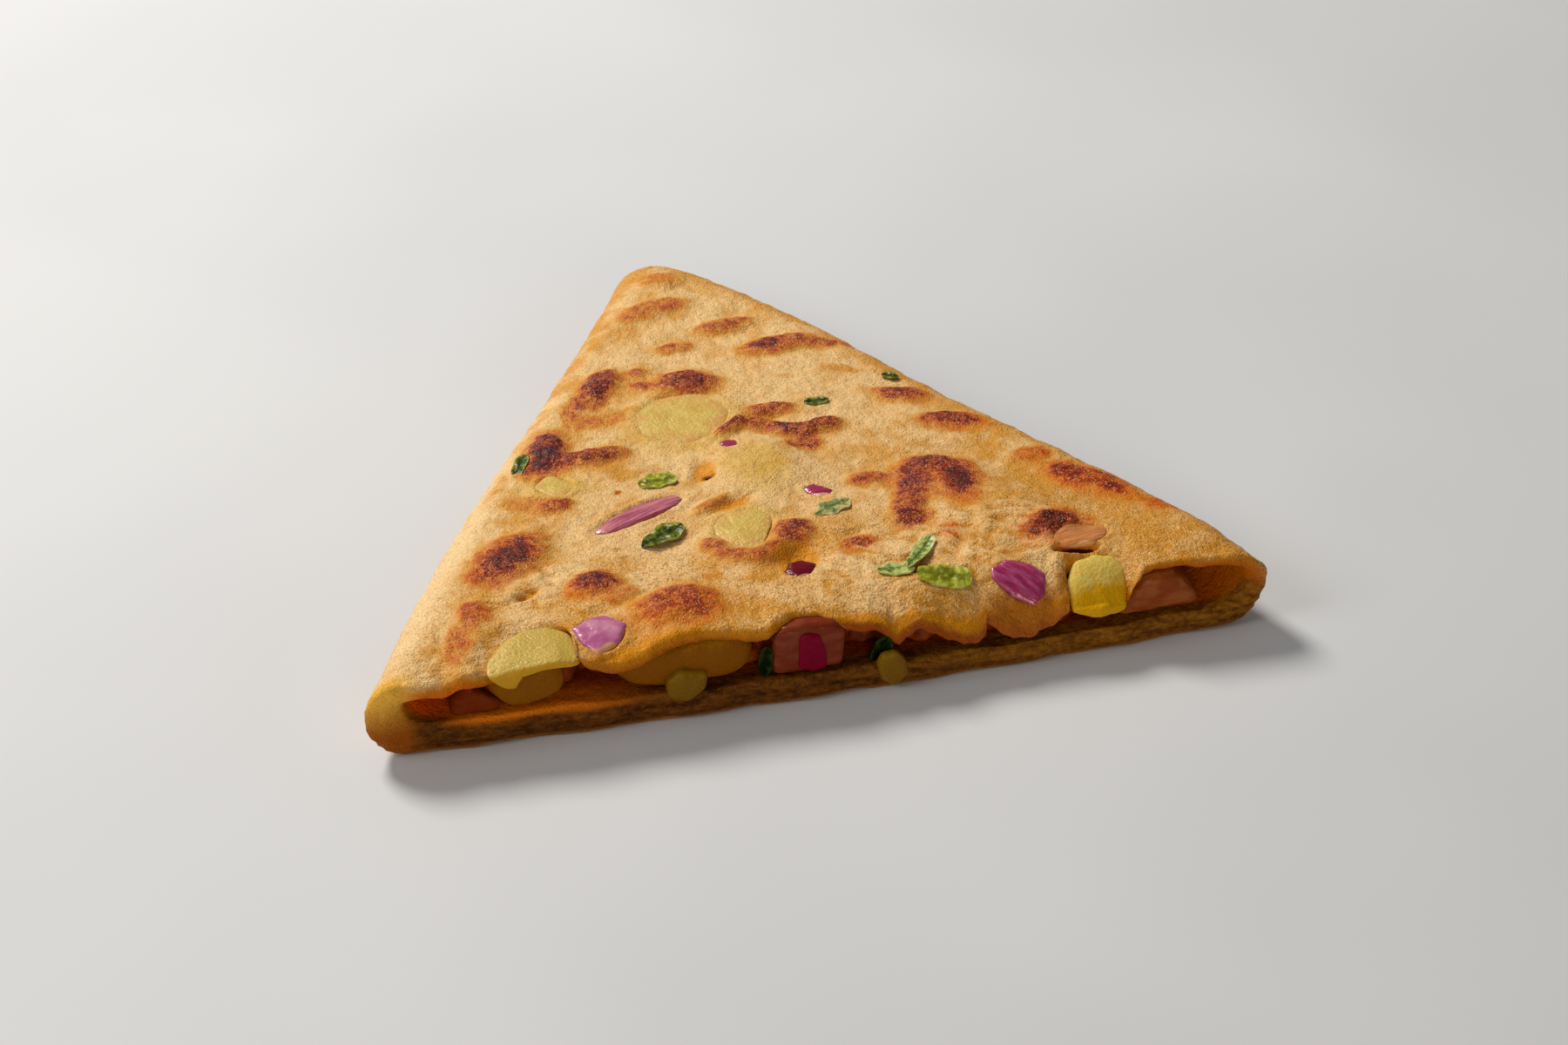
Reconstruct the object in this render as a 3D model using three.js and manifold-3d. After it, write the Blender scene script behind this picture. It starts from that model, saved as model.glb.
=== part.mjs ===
// A folded paratha: a griddled flatbread folded to a triangle round a potato, onion and
// coriander filling. Millimetres, +Z up. The open edge faces -Y and the tip of the fold +Y.
// The bread lies on z = 0, with the origin below the middle of its bounding box.

import * as THREE from "three";
import { mergeVertices } from "three/addons/utils/BufferGeometryUtils.js";
import Module from "manifold-3d";

const wasm = await Module();
wasm.setup();

const { clamp, lerp, smoothstep, degToRad } = THREE.MathUtils;

// Driving dimensions of the folded triangle.
const OPEN_Y = -61; // the open edge
const OPEN_WIDTH = 150; // length of the open edge, fold to fold
const TIP_Y = 65.4; // the tip of the fold
const CENTRE_Y = 1.5; // halfway from the open edge to the tip: the origin lies here
const TIP_RADIUS = 7; // rounding of the tip, seen from above
const TIP_SHIFT = -3.1; // the tip lies a little to the left
const SIDE_LEAN = degToRad(29.5); // each folded side leans in, as in a triangle of equal sides
const LEFT_BULGE = 1.4; // how far the left side bows outwards half way along
const LEFT_SLANT = 1; // the left side also bows out near the open edge and in near the tip
const RIGHT_BULGE = 3.4;
const RIGHT_SLANT = -0.5;
const RIGHT_WAVE = 1.3; // the right side runs in and out once
const OPEN_HEIGHT = 15.4; // height at the open edge, where the filling lifts the bread
const TIP_HEIGHT = 9.3; // height near the tip
const FOLD_REACH = 7; // how far a rounded fold stands out from the flat top
const NOSE_REACH = 7; // the same at the tip

// The dough.
const TOP_SHEET = 2.8;
const LIP_LEFT = 2.5; // the top sheet is thinner at its edge, most of all on the right
const LIP_RIGHT = 1.6;
const FOLD_WALL_LEFT = 6;
const FOLD_WALL_RIGHT = 3.6;
const BASE_LEFT = 5.7; // the base is thicker on the left of the open edge
const BASE_MIDDLE = 4.9;
const BASE_RIGHT = 4.5;
const BASE_RIM = 0.9; // rounding of the base's edge
const BASE_BOW = 1.8; // the base's edge stands further out in the middle
const LIP_REACH = 11; // the top sheet sags towards its edge over this length
const POCKET_TIP_Y = 44; // the pocket ends here, before the tip
const FILLING_SETBACK = 4.4; // the filling's front lies this far behind the open edge

const GAP = 0.35; // between pieces that touch
const FILLING_GAP = 0.6; // between the filling and the dough, whose grids differ
const LEAF_THICK = 0.7;
const LEAF_POINTS = 14; // corners of a leaf's outline

// The edge of the top sheet, from left to right: where its underside hangs, and its setback.
const LIP = [
  { x: -75, underside: 12.6, setback: 0.5 },
  { x: -69, underside: 11.6, setback: 0 },
  { x: -62, underside: 10.6, setback: 0 },
  { x: -58, underside: 11.4, setback: 0.6 },
  { x: -52, underside: 12.4, setback: 1.4 },
  { x: -44, underside: 12.6, setback: 1.6 },
  { x: -37, underside: 10.6, setback: -0.6 },
  { x: -33, underside: 11, setback: 0 },
  { x: -29, underside: 12.2, setback: 1 },
  { x: -22, underside: 12.6, setback: 2 },
  { x: -13, underside: 12.2, setback: 1 },
  { x: -7, underside: 12.6, setback: 2.4 },
  { x: -1, underside: 12.6, setback: 2 },
  { x: 3, underside: 11.2, setback: 0.5 },
  { x: 8, underside: 10.8, setback: 0 },
  { x: 11, underside: 7.8, setback: -0.6 },
  { x: 14.5, underside: 9.8, setback: 0 },
  { x: 20, underside: 7.6, setback: -0.6 },
  { x: 24, underside: 6.2, setback: -0.8 },
  { x: 26.5, underside: 7.4, setback: 0 },
  { x: 30, underside: 5, setback: -1 },
  { x: 36, underside: 5, setback: -1 },
  { x: 40, underside: 7.5, setback: 0 },
  { x: 48, underside: 9, setback: 0.5 },
  { x: 52, underside: 12.2, setback: 2 },
  { x: 60, underside: 12.6, setback: 2 },
  { x: 68, underside: 12.6, setback: 1 },
  { x: 75, underside: 12.4, setback: 0.5 },
];

// Browned blisters of the top face: centre, length, width, turn in degrees and height.
const BLISTERS = [
  { x: -2.4, y: 54.5, length: 8, width: 6, turn: 0, height: 0.7 },
  { x: -6.4, y: 43.5, length: 12, width: 7, turn: 20, height: 0.8 },
  { x: 5.6, y: 34.7, length: 10, width: 6, turn: 0, height: 1 },
  { x: -5, y: 29.7, length: 7, width: 5, turn: 0, height: 0.6 },
  { x: 13.7, y: 25.4, length: 13, width: 7, turn: 5, height: 1.1 },
  { x: -6.5, y: 17.4, length: 10, width: 8, turn: -5, height: 1.3 },
  { x: -22, y: 17.6, length: 16, width: 8, turn: 60, height: 1.1 },
  { x: 6.5, y: 3.5, length: 9, width: 6, turn: 0, height: 1.1 },
  { x: 3, y: -4, length: 10, width: 5.5, turn: -25, height: 1.4 },
  { x: 12.5, y: -5, length: 9, width: 6, turn: 12, height: 1.4 },
  { x: -34, y: -0.5, length: 11, width: 6, turn: 85, height: 1.3 },
  { x: -26.5, y: -4, length: 11, width: 6, turn: 0, height: 1.1 },
  { x: -37.5, y: -17.5, length: 8, width: 5, turn: 0, height: 0.7 },
  { x: -47.5, y: -31, length: 16, width: 12, turn: 20, height: 1.3 },
  { x: -34.8, y: -41.9, length: 8, width: 7, turn: 0, height: 1.1 },
  { x: -24, y: -51.3, length: 15, width: 10, turn: -5, height: 1.3 },
  { x: -55.5, y: -48, length: 11, width: 7, turn: 70, height: 0.7 },
  { x: -12, y: -37.5, length: 8, width: 6, turn: -20, height: 1.1 },
  { x: -3, y: -37.5, length: 10, width: 6, turn: 35, height: 1.3 },
  { x: 16.5, y: -22.5, length: 7, width: 5, turn: 0, height: 0.7 },
  { x: 28.3, y: -25.8, length: 14, width: 12, turn: -20, height: 1.4 },
  { x: 20.3, y: -34.1, length: 10, width: 6, turn: 60, height: 1 },
  { x: 29.8, y: 2.6, length: 9, width: 6, turn: 0, height: 0.8 },
  { x: 35.4, y: -8.2, length: 10, width: 6, turn: -10, height: 0.8 },
  { x: 45.2, y: -22.3, length: 8, width: 6, turn: 0, height: 0.6 },
  { x: 53.2, y: -33.2, length: 17, width: 8, turn: -25, height: 1 },
  { x: 42.8, y: -43.6, length: 7, width: 6, turn: 0, height: 1 },
  { x: -0.7, y: -14, length: 17, width: 16, turn: 0, height: 1.3 },
];

// How finely the folded sheet is divided.
const TOP_STEPS = 44;
const FOLD_STEPS = 6;
const BASE_STEPS = 8;
const RING_STEPS = TOP_STEPS + BASE_STEPS + 2 * FOLD_STEPS;
const NOSE_ROWS = 3;
const FIELD_ROWS = 19;
const LIP_ROWS = 4;
const RIM_ROWS = 3;
const INNER_ROWS = 8;
const SHEET_ROWS = NOSE_ROWS + FIELD_ROWS + LIP_ROWS + RIM_ROWS + INNER_ROWS;

const COLOURS = {
  dough: { color: 0xd9a55c, roughness: 0.62 },
  filling: { color: 0x8a4a22, roughness: 0.6 },
  potato: { color: 0xd8b83c, roughness: 0.42 },
  onion: { color: 0xa8447c, roughness: 0.22 },
  onionPale: { color: 0xc98a72, roughness: 0.35 },
  leaf: { color: 0x4f7a2c, roughness: 0.5 },
};

function look(name) {
  return new THREE.MeshStandardMaterial({ ...COLOURS[name], metalness: 0 });
}

// Outline of the triangle, seen from above.

function halfWidth(y) {
  const centre = TIP_Y - TIP_RADIUS;
  const tangent = centre + TIP_RADIUS * Math.sin(SIDE_LEAN);
  if (y > tangent) return Math.sqrt(Math.max(0, TIP_RADIUS ** 2 - (y - centre) ** 2));
  return (centre + TIP_RADIUS / Math.sin(SIDE_LEAN) - y) * Math.tan(SIDE_LEAN);
}

function along(y) {
  return clamp((y - OPEN_Y) / (TIP_Y - OPEN_Y), 0, 1);
}

function leftEdge(y) {
  const t = Math.PI * along(y);
  return TIP_SHIFT * along(y) - halfWidth(y) - LEFT_BULGE * Math.sin(t) - LEFT_SLANT * Math.sin(2 * t);
}

function rightEdge(y) {
  const t = Math.PI * along(y);
  const bow = RIGHT_BULGE * Math.sin(t) + RIGHT_SLANT * Math.sin(2 * t);
  return TIP_SHIFT * along(y) + halfWidth(y) + bow + RIGHT_WAVE * Math.sin(3 * t);
}

function crownHeight(y) {
  return lerp(OPEN_HEIGHT, TIP_HEIGHT, along(y));
}

// The half height shrinks to nothing over the rounded nose at the tip.
function nose(y) {
  const back = clamp((y - (TIP_Y - NOSE_REACH)) / NOSE_REACH, 0, 1);
  return Math.sqrt(1 - back * back);
}

// The value of a named field between the two nearest entries of a list sorted by x.
function between(list, field, x) {
  const next = list.findIndex((entry) => entry.x > x);
  if (next === -1) return list[list.length - 1][field];
  if (next === 0) return list[0][field];
  const a = list[next - 1];
  const b = list[next];
  const t = (x - a.x) / (b.x - a.x);
  return lerp(a[field], b[field], t * t * (3 - 2 * t));
}

function lipY(x) {
  return OPEN_Y + between(LIP, "setback", x);
}

// The edge of the base bows forwards a little, and is ragged.
function baseY(x) {
  return OPEN_Y + 0.6 - BASE_BOW * Math.cos((Math.PI * x) / OPEN_WIDTH) + 0.25 * Math.sin(0.35 * x);
}

// 0 over the field and 1 at the edge of the top sheet.
function edgeShare(x, y) {
  const k = clamp((lipY(x) + LIP_REACH - y) / LIP_REACH, 0, 1);
  return k * k;
}

function lipThickness(x) {
  return lerp(LIP_LEFT, LIP_RIGHT, smoothstep(x, -20, 5));
}

function sheetThickness(x, y) {
  return lerp(TOP_SHEET, lipThickness(x), edgeShare(x, y));
}

// How far the top sheet sags: nothing over the field, the whole drop at the lip.
function sag(x, y) {
  const drop = crownHeight(lipY(x)) - lipThickness(x) - between(LIP, "underside", x);
  return drop * edgeShare(x, y);
}

function blisterRelief(x, y) {
  let sum = 0;
  for (const b of BLISTERS) {
    const turn = degToRad(b.turn);
    const u = (x - b.x) * Math.cos(turn) + (y - b.y) * Math.sin(turn);
    const v = (y - b.y) * Math.cos(turn) - (x - b.x) * Math.sin(turn);
    const reach = (2 * u) ** 2 / b.length ** 2 + (2 * v) ** 2 / b.width ** 2;
    sum += b.height * Math.exp(-reach * reach * 0.8);
  }
  return sum;
}

// Long soft waves of a sheet that lies on lumps.
function waves(x, y) {
  return 0.35 * Math.sin(0.11 * x + 0.05 * y) * Math.cos(0.13 * y - 0.04 * x);
}

function topHeight(x, y) {
  const toSide = Math.min(x - leftEdge(y), rightEdge(y) - x);
  const fade = smoothstep(toSide, 1, FOLD_REACH + 2);
  return crownHeight(y) + fade * (blisterRelief(x, y) + waves(x, y)) - sag(x, y);
}

function baseThickness(x) {
  const left = lerp(BASE_MIDDLE, BASE_LEFT, smoothstep(-x, 15, 45));
  return lerp(left, BASE_RIGHT, smoothstep(x, 5, 30));
}

// A point of the section across the bread at y. step counts once round the ring: up the
// left fold, over the top, down the right fold and back along the base. inside says how
// far the section shrinks: 0 is the outer face and 1 the inner face of the dough.
function sectionPoint(step, y, inside, play = 0) {
  const left = leftEdge(y) + inside * (FOLD_WALL_LEFT + play);
  const right = rightEdge(y) - inside * (FOLD_WALL_RIGHT + play);
  const reach = Math.min(FOLD_REACH - inside, (right - left) / 2);
  const crown = crownHeight(y);
  const half = nose(y);
  let x;
  let up; // 1 on top, -1 on the base, between them on a fold
  if (step < FOLD_STEPS) {
    const a = Math.PI * (step / FOLD_STEPS - 0.5);
    x = left + reach - reach * Math.cos(a);
    up = Math.sin(a);
  } else if (step <= FOLD_STEPS + TOP_STEPS) {
    x = lerp(left + reach, right - reach, (step - FOLD_STEPS) / TOP_STEPS);
    up = 1;
  } else if (step < 2 * FOLD_STEPS + TOP_STEPS) {
    const a = Math.PI * (0.5 - (step - FOLD_STEPS - TOP_STEPS) / FOLD_STEPS);
    x = right - reach + reach * Math.cos(a);
    up = Math.sin(a);
  } else {
    const back = (step - 2 * FOLD_STEPS - TOP_STEPS) / BASE_STEPS;
    x = lerp(right - reach, left + reach, back);
    up = -1;
  }
  const upper = crown - inside * (sheetThickness(x, y) + play);
  const lower = inside * (baseThickness(x) + play);
  const centre = lerp(crown / 2, (upper + lower) / 2, inside);
  let z = centre + half * up * (up > 0 ? upper - centre : centre - lower);
  const onTop = smoothstep(up, 0.2, 1);
  if (inside < 1) z += (1 - inside) * onTop * (topHeight(x, y) + sag(x, y) - crown) * half;
  z -= onTop * sag(x, y);
  return new THREE.Vector3(x, y, z);
}

function toManifold(geometry) {
  const bare = geometry.clone();
  bare.deleteAttribute("normal");
  bare.deleteAttribute("uv");
  const merged = mergeVertices(bare, 1e-3);
  return new wasm.Manifold(
    new wasm.Mesh({
      numProp: 3,
      vertProperties: new Float32Array(merged.attributes.position.array),
      triVerts: new Uint32Array(merged.index.array),
    }),
  );
}

// The largest body of a solid: a cut may leave loose crumbs, which are dropped.
function mainBody(solid) {
  return solid.decompose().sort((a, b) => b.volume() - a.volume())[0];
}

function toMesh(name, solid, material) {
  const data = mainBody(solid).getMesh();
  const geometry = new THREE.BufferGeometry();
  const position = new THREE.BufferAttribute(new Float32Array(data.vertProperties), 3);
  geometry.setAttribute("position", position);
  geometry.setIndex(new THREE.BufferAttribute(new Uint32Array(data.triVerts), 1));
  geometry.translate(0, -CENTRE_Y, 0);
  geometry.computeVertexNormals();
  const mesh = new THREE.Mesh(geometry, material);
  mesh.name = name;
  return mesh;
}

// Moves every vertex of a closed grid by place(column, row), where the sphere's columns run
// round the ring and its rows from pole to pole.
function gridSolid(columns, rows, place) {
  const geometry = new THREE.SphereGeometry(1, columns, rows);
  const position = geometry.attributes.position;
  for (let row = 0; row <= rows; row++) {
    for (let column = 0; column <= columns; column++) {
      const point = place(column % columns, row);
      position.setXYZ(row * (columns + 1) + column, point.x, point.y, point.z);
    }
  }
  return toManifold(geometry);
}

// Where the dough's edge lies in a column of the ring, and how round it is.
function rimOf(column) {
  const { x } = sectionPoint(column, OPEN_Y, 0);
  const isTop = column >= FOLD_STEPS && column <= FOLD_STEPS + TOP_STEPS;
  const edge = isTop ? lipY(x) : baseY(x);
  const rimRadius = isTop ? lipThickness(x) / 2 : BASE_RIM;
  return { edge, rimRadius, rimStart: edge + rimRadius };
}

// One sheet of dough, folded to a pocket: from the tip along the outside to the open edge,
// round the rim and back along the inside.
function foldedSheet() {
  return gridSolid(RING_STEPS, SHEET_ROWS, (column, row) => {
    const { edge, rimRadius, rimStart } = rimOf(column);
    const lipStart = edge + LIP_REACH;
    if (row <= NOSE_ROWS) {
      const a = (Math.PI / 2) * (row / NOSE_ROWS);
      return sectionPoint(column, TIP_Y - NOSE_REACH * (1 - Math.cos(a)), 0);
    }
    const fieldRow = row - NOSE_ROWS;
    if (fieldRow <= FIELD_ROWS) {
      const y = lerp(TIP_Y - NOSE_REACH, lipStart, fieldRow / FIELD_ROWS);
      return sectionPoint(column, y, 0);
    }
    const lipRow = fieldRow - FIELD_ROWS;
    if (lipRow <= LIP_ROWS) {
      return sectionPoint(column, lerp(lipStart, rimStart, lipRow / LIP_ROWS), 0);
    }
    const rimRow = lipRow - LIP_ROWS;
    if (rimRow <= RIM_ROWS) {
      const a = Math.PI * (rimRow / RIM_ROWS);
      const y = rimStart - rimRadius * Math.sin(a);
      return sectionPoint(column, y, (1 - Math.cos(a)) / 2);
    }
    return pocketPoint(column, innerRowY(rimStart, rimRow - RIM_ROWS), 0);
  });
}

// Rows of the inner face lie close together behind the rim and further apart inside.
function innerRowY(start, row) {
  return lerp(start, POCKET_TIP_Y, (row / INNER_ROWS) ** 1.6);
}

function pocketMiddle(y) {
  return new THREE.Vector3(TIP_SHIFT, y, (BASE_MIDDLE + crownHeight(y) - TOP_SHEET) / 2);
}

// The inner face of the pocket. It narrows to a point at its own tip.
function pocketPoint(column, y, play) {
  const point = sectionPoint(column, y, 1, play);
  return point.lerp(pocketMiddle(y), smoothstep(y, POCKET_TIP_Y - 7, POCKET_TIP_Y));
}

// The filling fills the pocket up to an uneven front. It lies further back at both ends, and
// between two dice.
function fillingFrontY(x, z) {
  const ends = 8 * smoothstep(-x, 54, 62) + 13 * smoothstep(x, 58, 65);
  const hollows = 4 * Math.exp(-(((x + 39) / 4.5) ** 2)) + 2.4 * Math.exp(-(((x - 5) / 3) ** 2));
  const lumps = 0.7 * Math.sin(0.55 * x + 0.4 * z) + 0.5 * Math.sin(1.3 * x - 0.7 * z);
  return OPEN_Y + FILLING_SETBACK + ends + hollows + lumps;
}

function fillingSolid() {
  const tip = pocketMiddle(innerRowY(OPEN_Y, INNER_ROWS - 1) + 2 * GAP);
  const body = gridSolid(RING_STEPS / 2, INNER_ROWS + 1, (column, row) => {
    if (row === 0) return tip;
    if (row > INNER_ROWS) return new THREE.Vector3(0, OPEN_Y - TOP_SHEET, OPEN_HEIGHT / 2);
    const { rimStart } = rimOf(2 * column);
    return pocketPoint(2 * column, innerRowY(rimStart, INNER_ROWS - row), FILLING_GAP);
  });
  const front = new THREE.BoxGeometry(170, 40, 30, 52, 1, 4);
  const position = front.attributes.position;
  for (let i = 0; i < position.count; i++) {
    const x = position.getX(i);
    const z = position.getZ(i) + 8;
    const y = position.getY(i) > 0 ? fillingFrontY(x, z) : OPEN_Y - 40;
    position.setXYZ(i, x, y, z);
  }
  return body.subtract(toManifold(front));
}

// How far an outline of corners reaches from its middle in each of 360 directions, softened
// over that many degrees.
function outlineReach(corners, softness) {
  const xs = corners.map((corner) => corner[0]);
  const ys = corners.map((corner) => corner[1]);
  const middle = [
    (Math.min(...xs) + Math.max(...xs)) / 2,
    (Math.min(...ys) + Math.max(...ys)) / 2,
  ];
  const sharp = [];
  for (let degree = 0; degree < 360; degree++) {
    const rayX = Math.cos(degToRad(degree));
    const rayY = Math.sin(degToRad(degree));
    let nearest = Infinity;
    corners.forEach((corner, i) => {
      const next = corners[(i + 1) % corners.length];
      const startX = corner[0] - middle[0];
      const startY = corner[1] - middle[1];
      const sideX = next[0] - corner[0];
      const sideY = next[1] - corner[1];
      const crossing = rayX * sideY - rayY * sideX;
      const reach = (startX * sideY - startY * sideX) / crossing;
      const place = (startX * rayY - startY * rayX) / crossing;
      if (reach > 0 && place > -1e-6 && place < 1 + 1e-6) nearest = Math.min(nearest, reach);
    });
    sharp.push(nearest);
  }
  const soft = sharp.map((_, degree) => {
    let sum = 0;
    let weights = 0;
    for (let shift = -3 * softness; shift <= 3 * softness; shift++) {
      const weight = Math.exp(-((shift / softness) ** 2) / 2);
      sum += weight * sharp[(degree + shift + 360) % 360];
      weights += weight;
    }
    return sum / weights;
  });
  return { middle, soft };
}

// The height at x of a list of [x, height], which is sorted by x.
function profile(list, x) {
  const next = list.findIndex((entry) => entry[0] > x);
  if (next === -1) return list[list.length - 1][1];
  if (next === 0) return list[0][1];
  const [a, b] = [list[next - 1], list[next]];
  return lerp(a[1], b[1], (x - a[0]) / (b[0] - a[0]));
}

// A dice of food from the corners of its outline. Crisp 2 is a lens, and higher is squarer. A
// standing dice has its corners in x and z, and runs in y from near to far. A lying one has its
// corners in x and y. It follows the top face, near above it, and under is its thickness or
// the profile of its underside. grow makes room round it.
function dice({ corners, near, far, under, crisp = 4, softness = 6, fine = 11 }, grow = 0) {
  const { middle, soft } = outlineReach(corners, softness);
  const geometry = new THREE.SphereGeometry(1, fine, Math.round(fine * 0.6));
  geometry.rotateX(Math.PI / 2);
  const position = geometry.attributes.position;
  const point = new THREE.Vector3();
  for (let i = 0; i < position.count; i++) {
    point.fromBufferAttribute(position, i);
    const flat = Math.hypot(point.x, point.y);
    const share = (flat ** crisp + Math.abs(point.z) ** crisp) ** (-1 / crisp);
    const degrees = (Math.atan2(point.y, point.x) / degToRad(1) + 360) % 360;
    const step = Math.floor(degrees) % 360;
    const reach = lerp(soft[step], soft[(step + 1) % 360], degrees - Math.floor(degrees)) + grow;
    const x = middle[0] + reach * share * point.x;
    const other = middle[1] + reach * share * point.y;
    const level = point.z * share;
    if (under === undefined) {
      const y = lerp(far + grow, near - grow, (level + 1) / 2);
      position.setXYZ(i, x, y, other);
    } else {
      const top = topHeight(x, other) + near + grow;
      const bottom = Array.isArray(under) ? profile(under, x) - grow : top - near - under - 2 * grow;
      position.setXYZ(i, x, other, lerp(bottom, top, (level + 1) / 2));
    }
  }
  return toManifold(geometry);
}

// A flat leaf with a lobed outline. Both faces are cut into triangles alike.
function leafBlank(length, width, thick, teeth, phase) {
  const points = [];
  for (let i = 0; i < LEAF_POINTS; i++) {
    const a = (2 * Math.PI * i) / LEAF_POINTS;
    const edge = 1 + 0.13 * Math.cos(teeth * a) + 0.05 * Math.sin(5 * a + phase);
    points.push(new THREE.Vector2((length / 2) * edge * Math.cos(a), (width / 2) * edge * Math.sin(a)));
  }
  const settings = { depth: thick, bevelEnabled: false, steps: 1 };
  return new THREE.ExtrudeGeometry(new THREE.Shape(points), settings);
}

// A thin wavy leaf that lies on the top face.
function leaf({ at, size, turn = 0, teeth = 3, lift = 0.5, curl = 0.5 }, grow = 0) {
  const thick = LEAF_THICK + 2 * grow;
  const geometry = leafBlank(size[0] + 2 * grow, size[1] + 2 * grow, thick, teeth, at[0]);
  const angle = degToRad(turn);
  const position = geometry.attributes.position;
  for (let i = 0; i < position.count; i++) {
    const u = position.getX(i);
    const v = position.getY(i);
    const x = at[0] + u * Math.cos(angle) - v * Math.sin(angle);
    const y = at[1] + u * Math.sin(angle) + v * Math.cos(angle);
    const wave = Math.sin((3 * u) / size[0] + at[1]) + Math.cos((5 * v) / size[1]) - 0.3;
    const z = topHeight(x, y) + lift + 0.5 * curl * wave + position.getZ(i) - grow;
    position.setXYZ(i, x, y, z);
  }
  return toManifold(geometry);
}

// A leaf or herb that stands in the open edge, its faces towards the front and the back.
function standingLeaf({ at, size, bow = 0.5 }, grow = 0) {
  const thick = size[1] + 2 * grow;
  const geometry = leafBlank(size[0] + 2 * grow, size[2] + 2 * grow, thick, 3, at[0]);
  geometry.rotateX(Math.PI / 2);
  const position = geometry.attributes.position;
  for (let i = 0; i < position.count; i++) {
    const x = position.getX(i);
    const z = position.getZ(i);
    const y = position.getY(i) + size[1] / 2 + grow + bow * Math.cos((2 * x) / size[0]);
    position.setXYZ(i, at[0] + x, at[1] + y, at[2] + z);
  }
  return toManifold(geometry);
}

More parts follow.
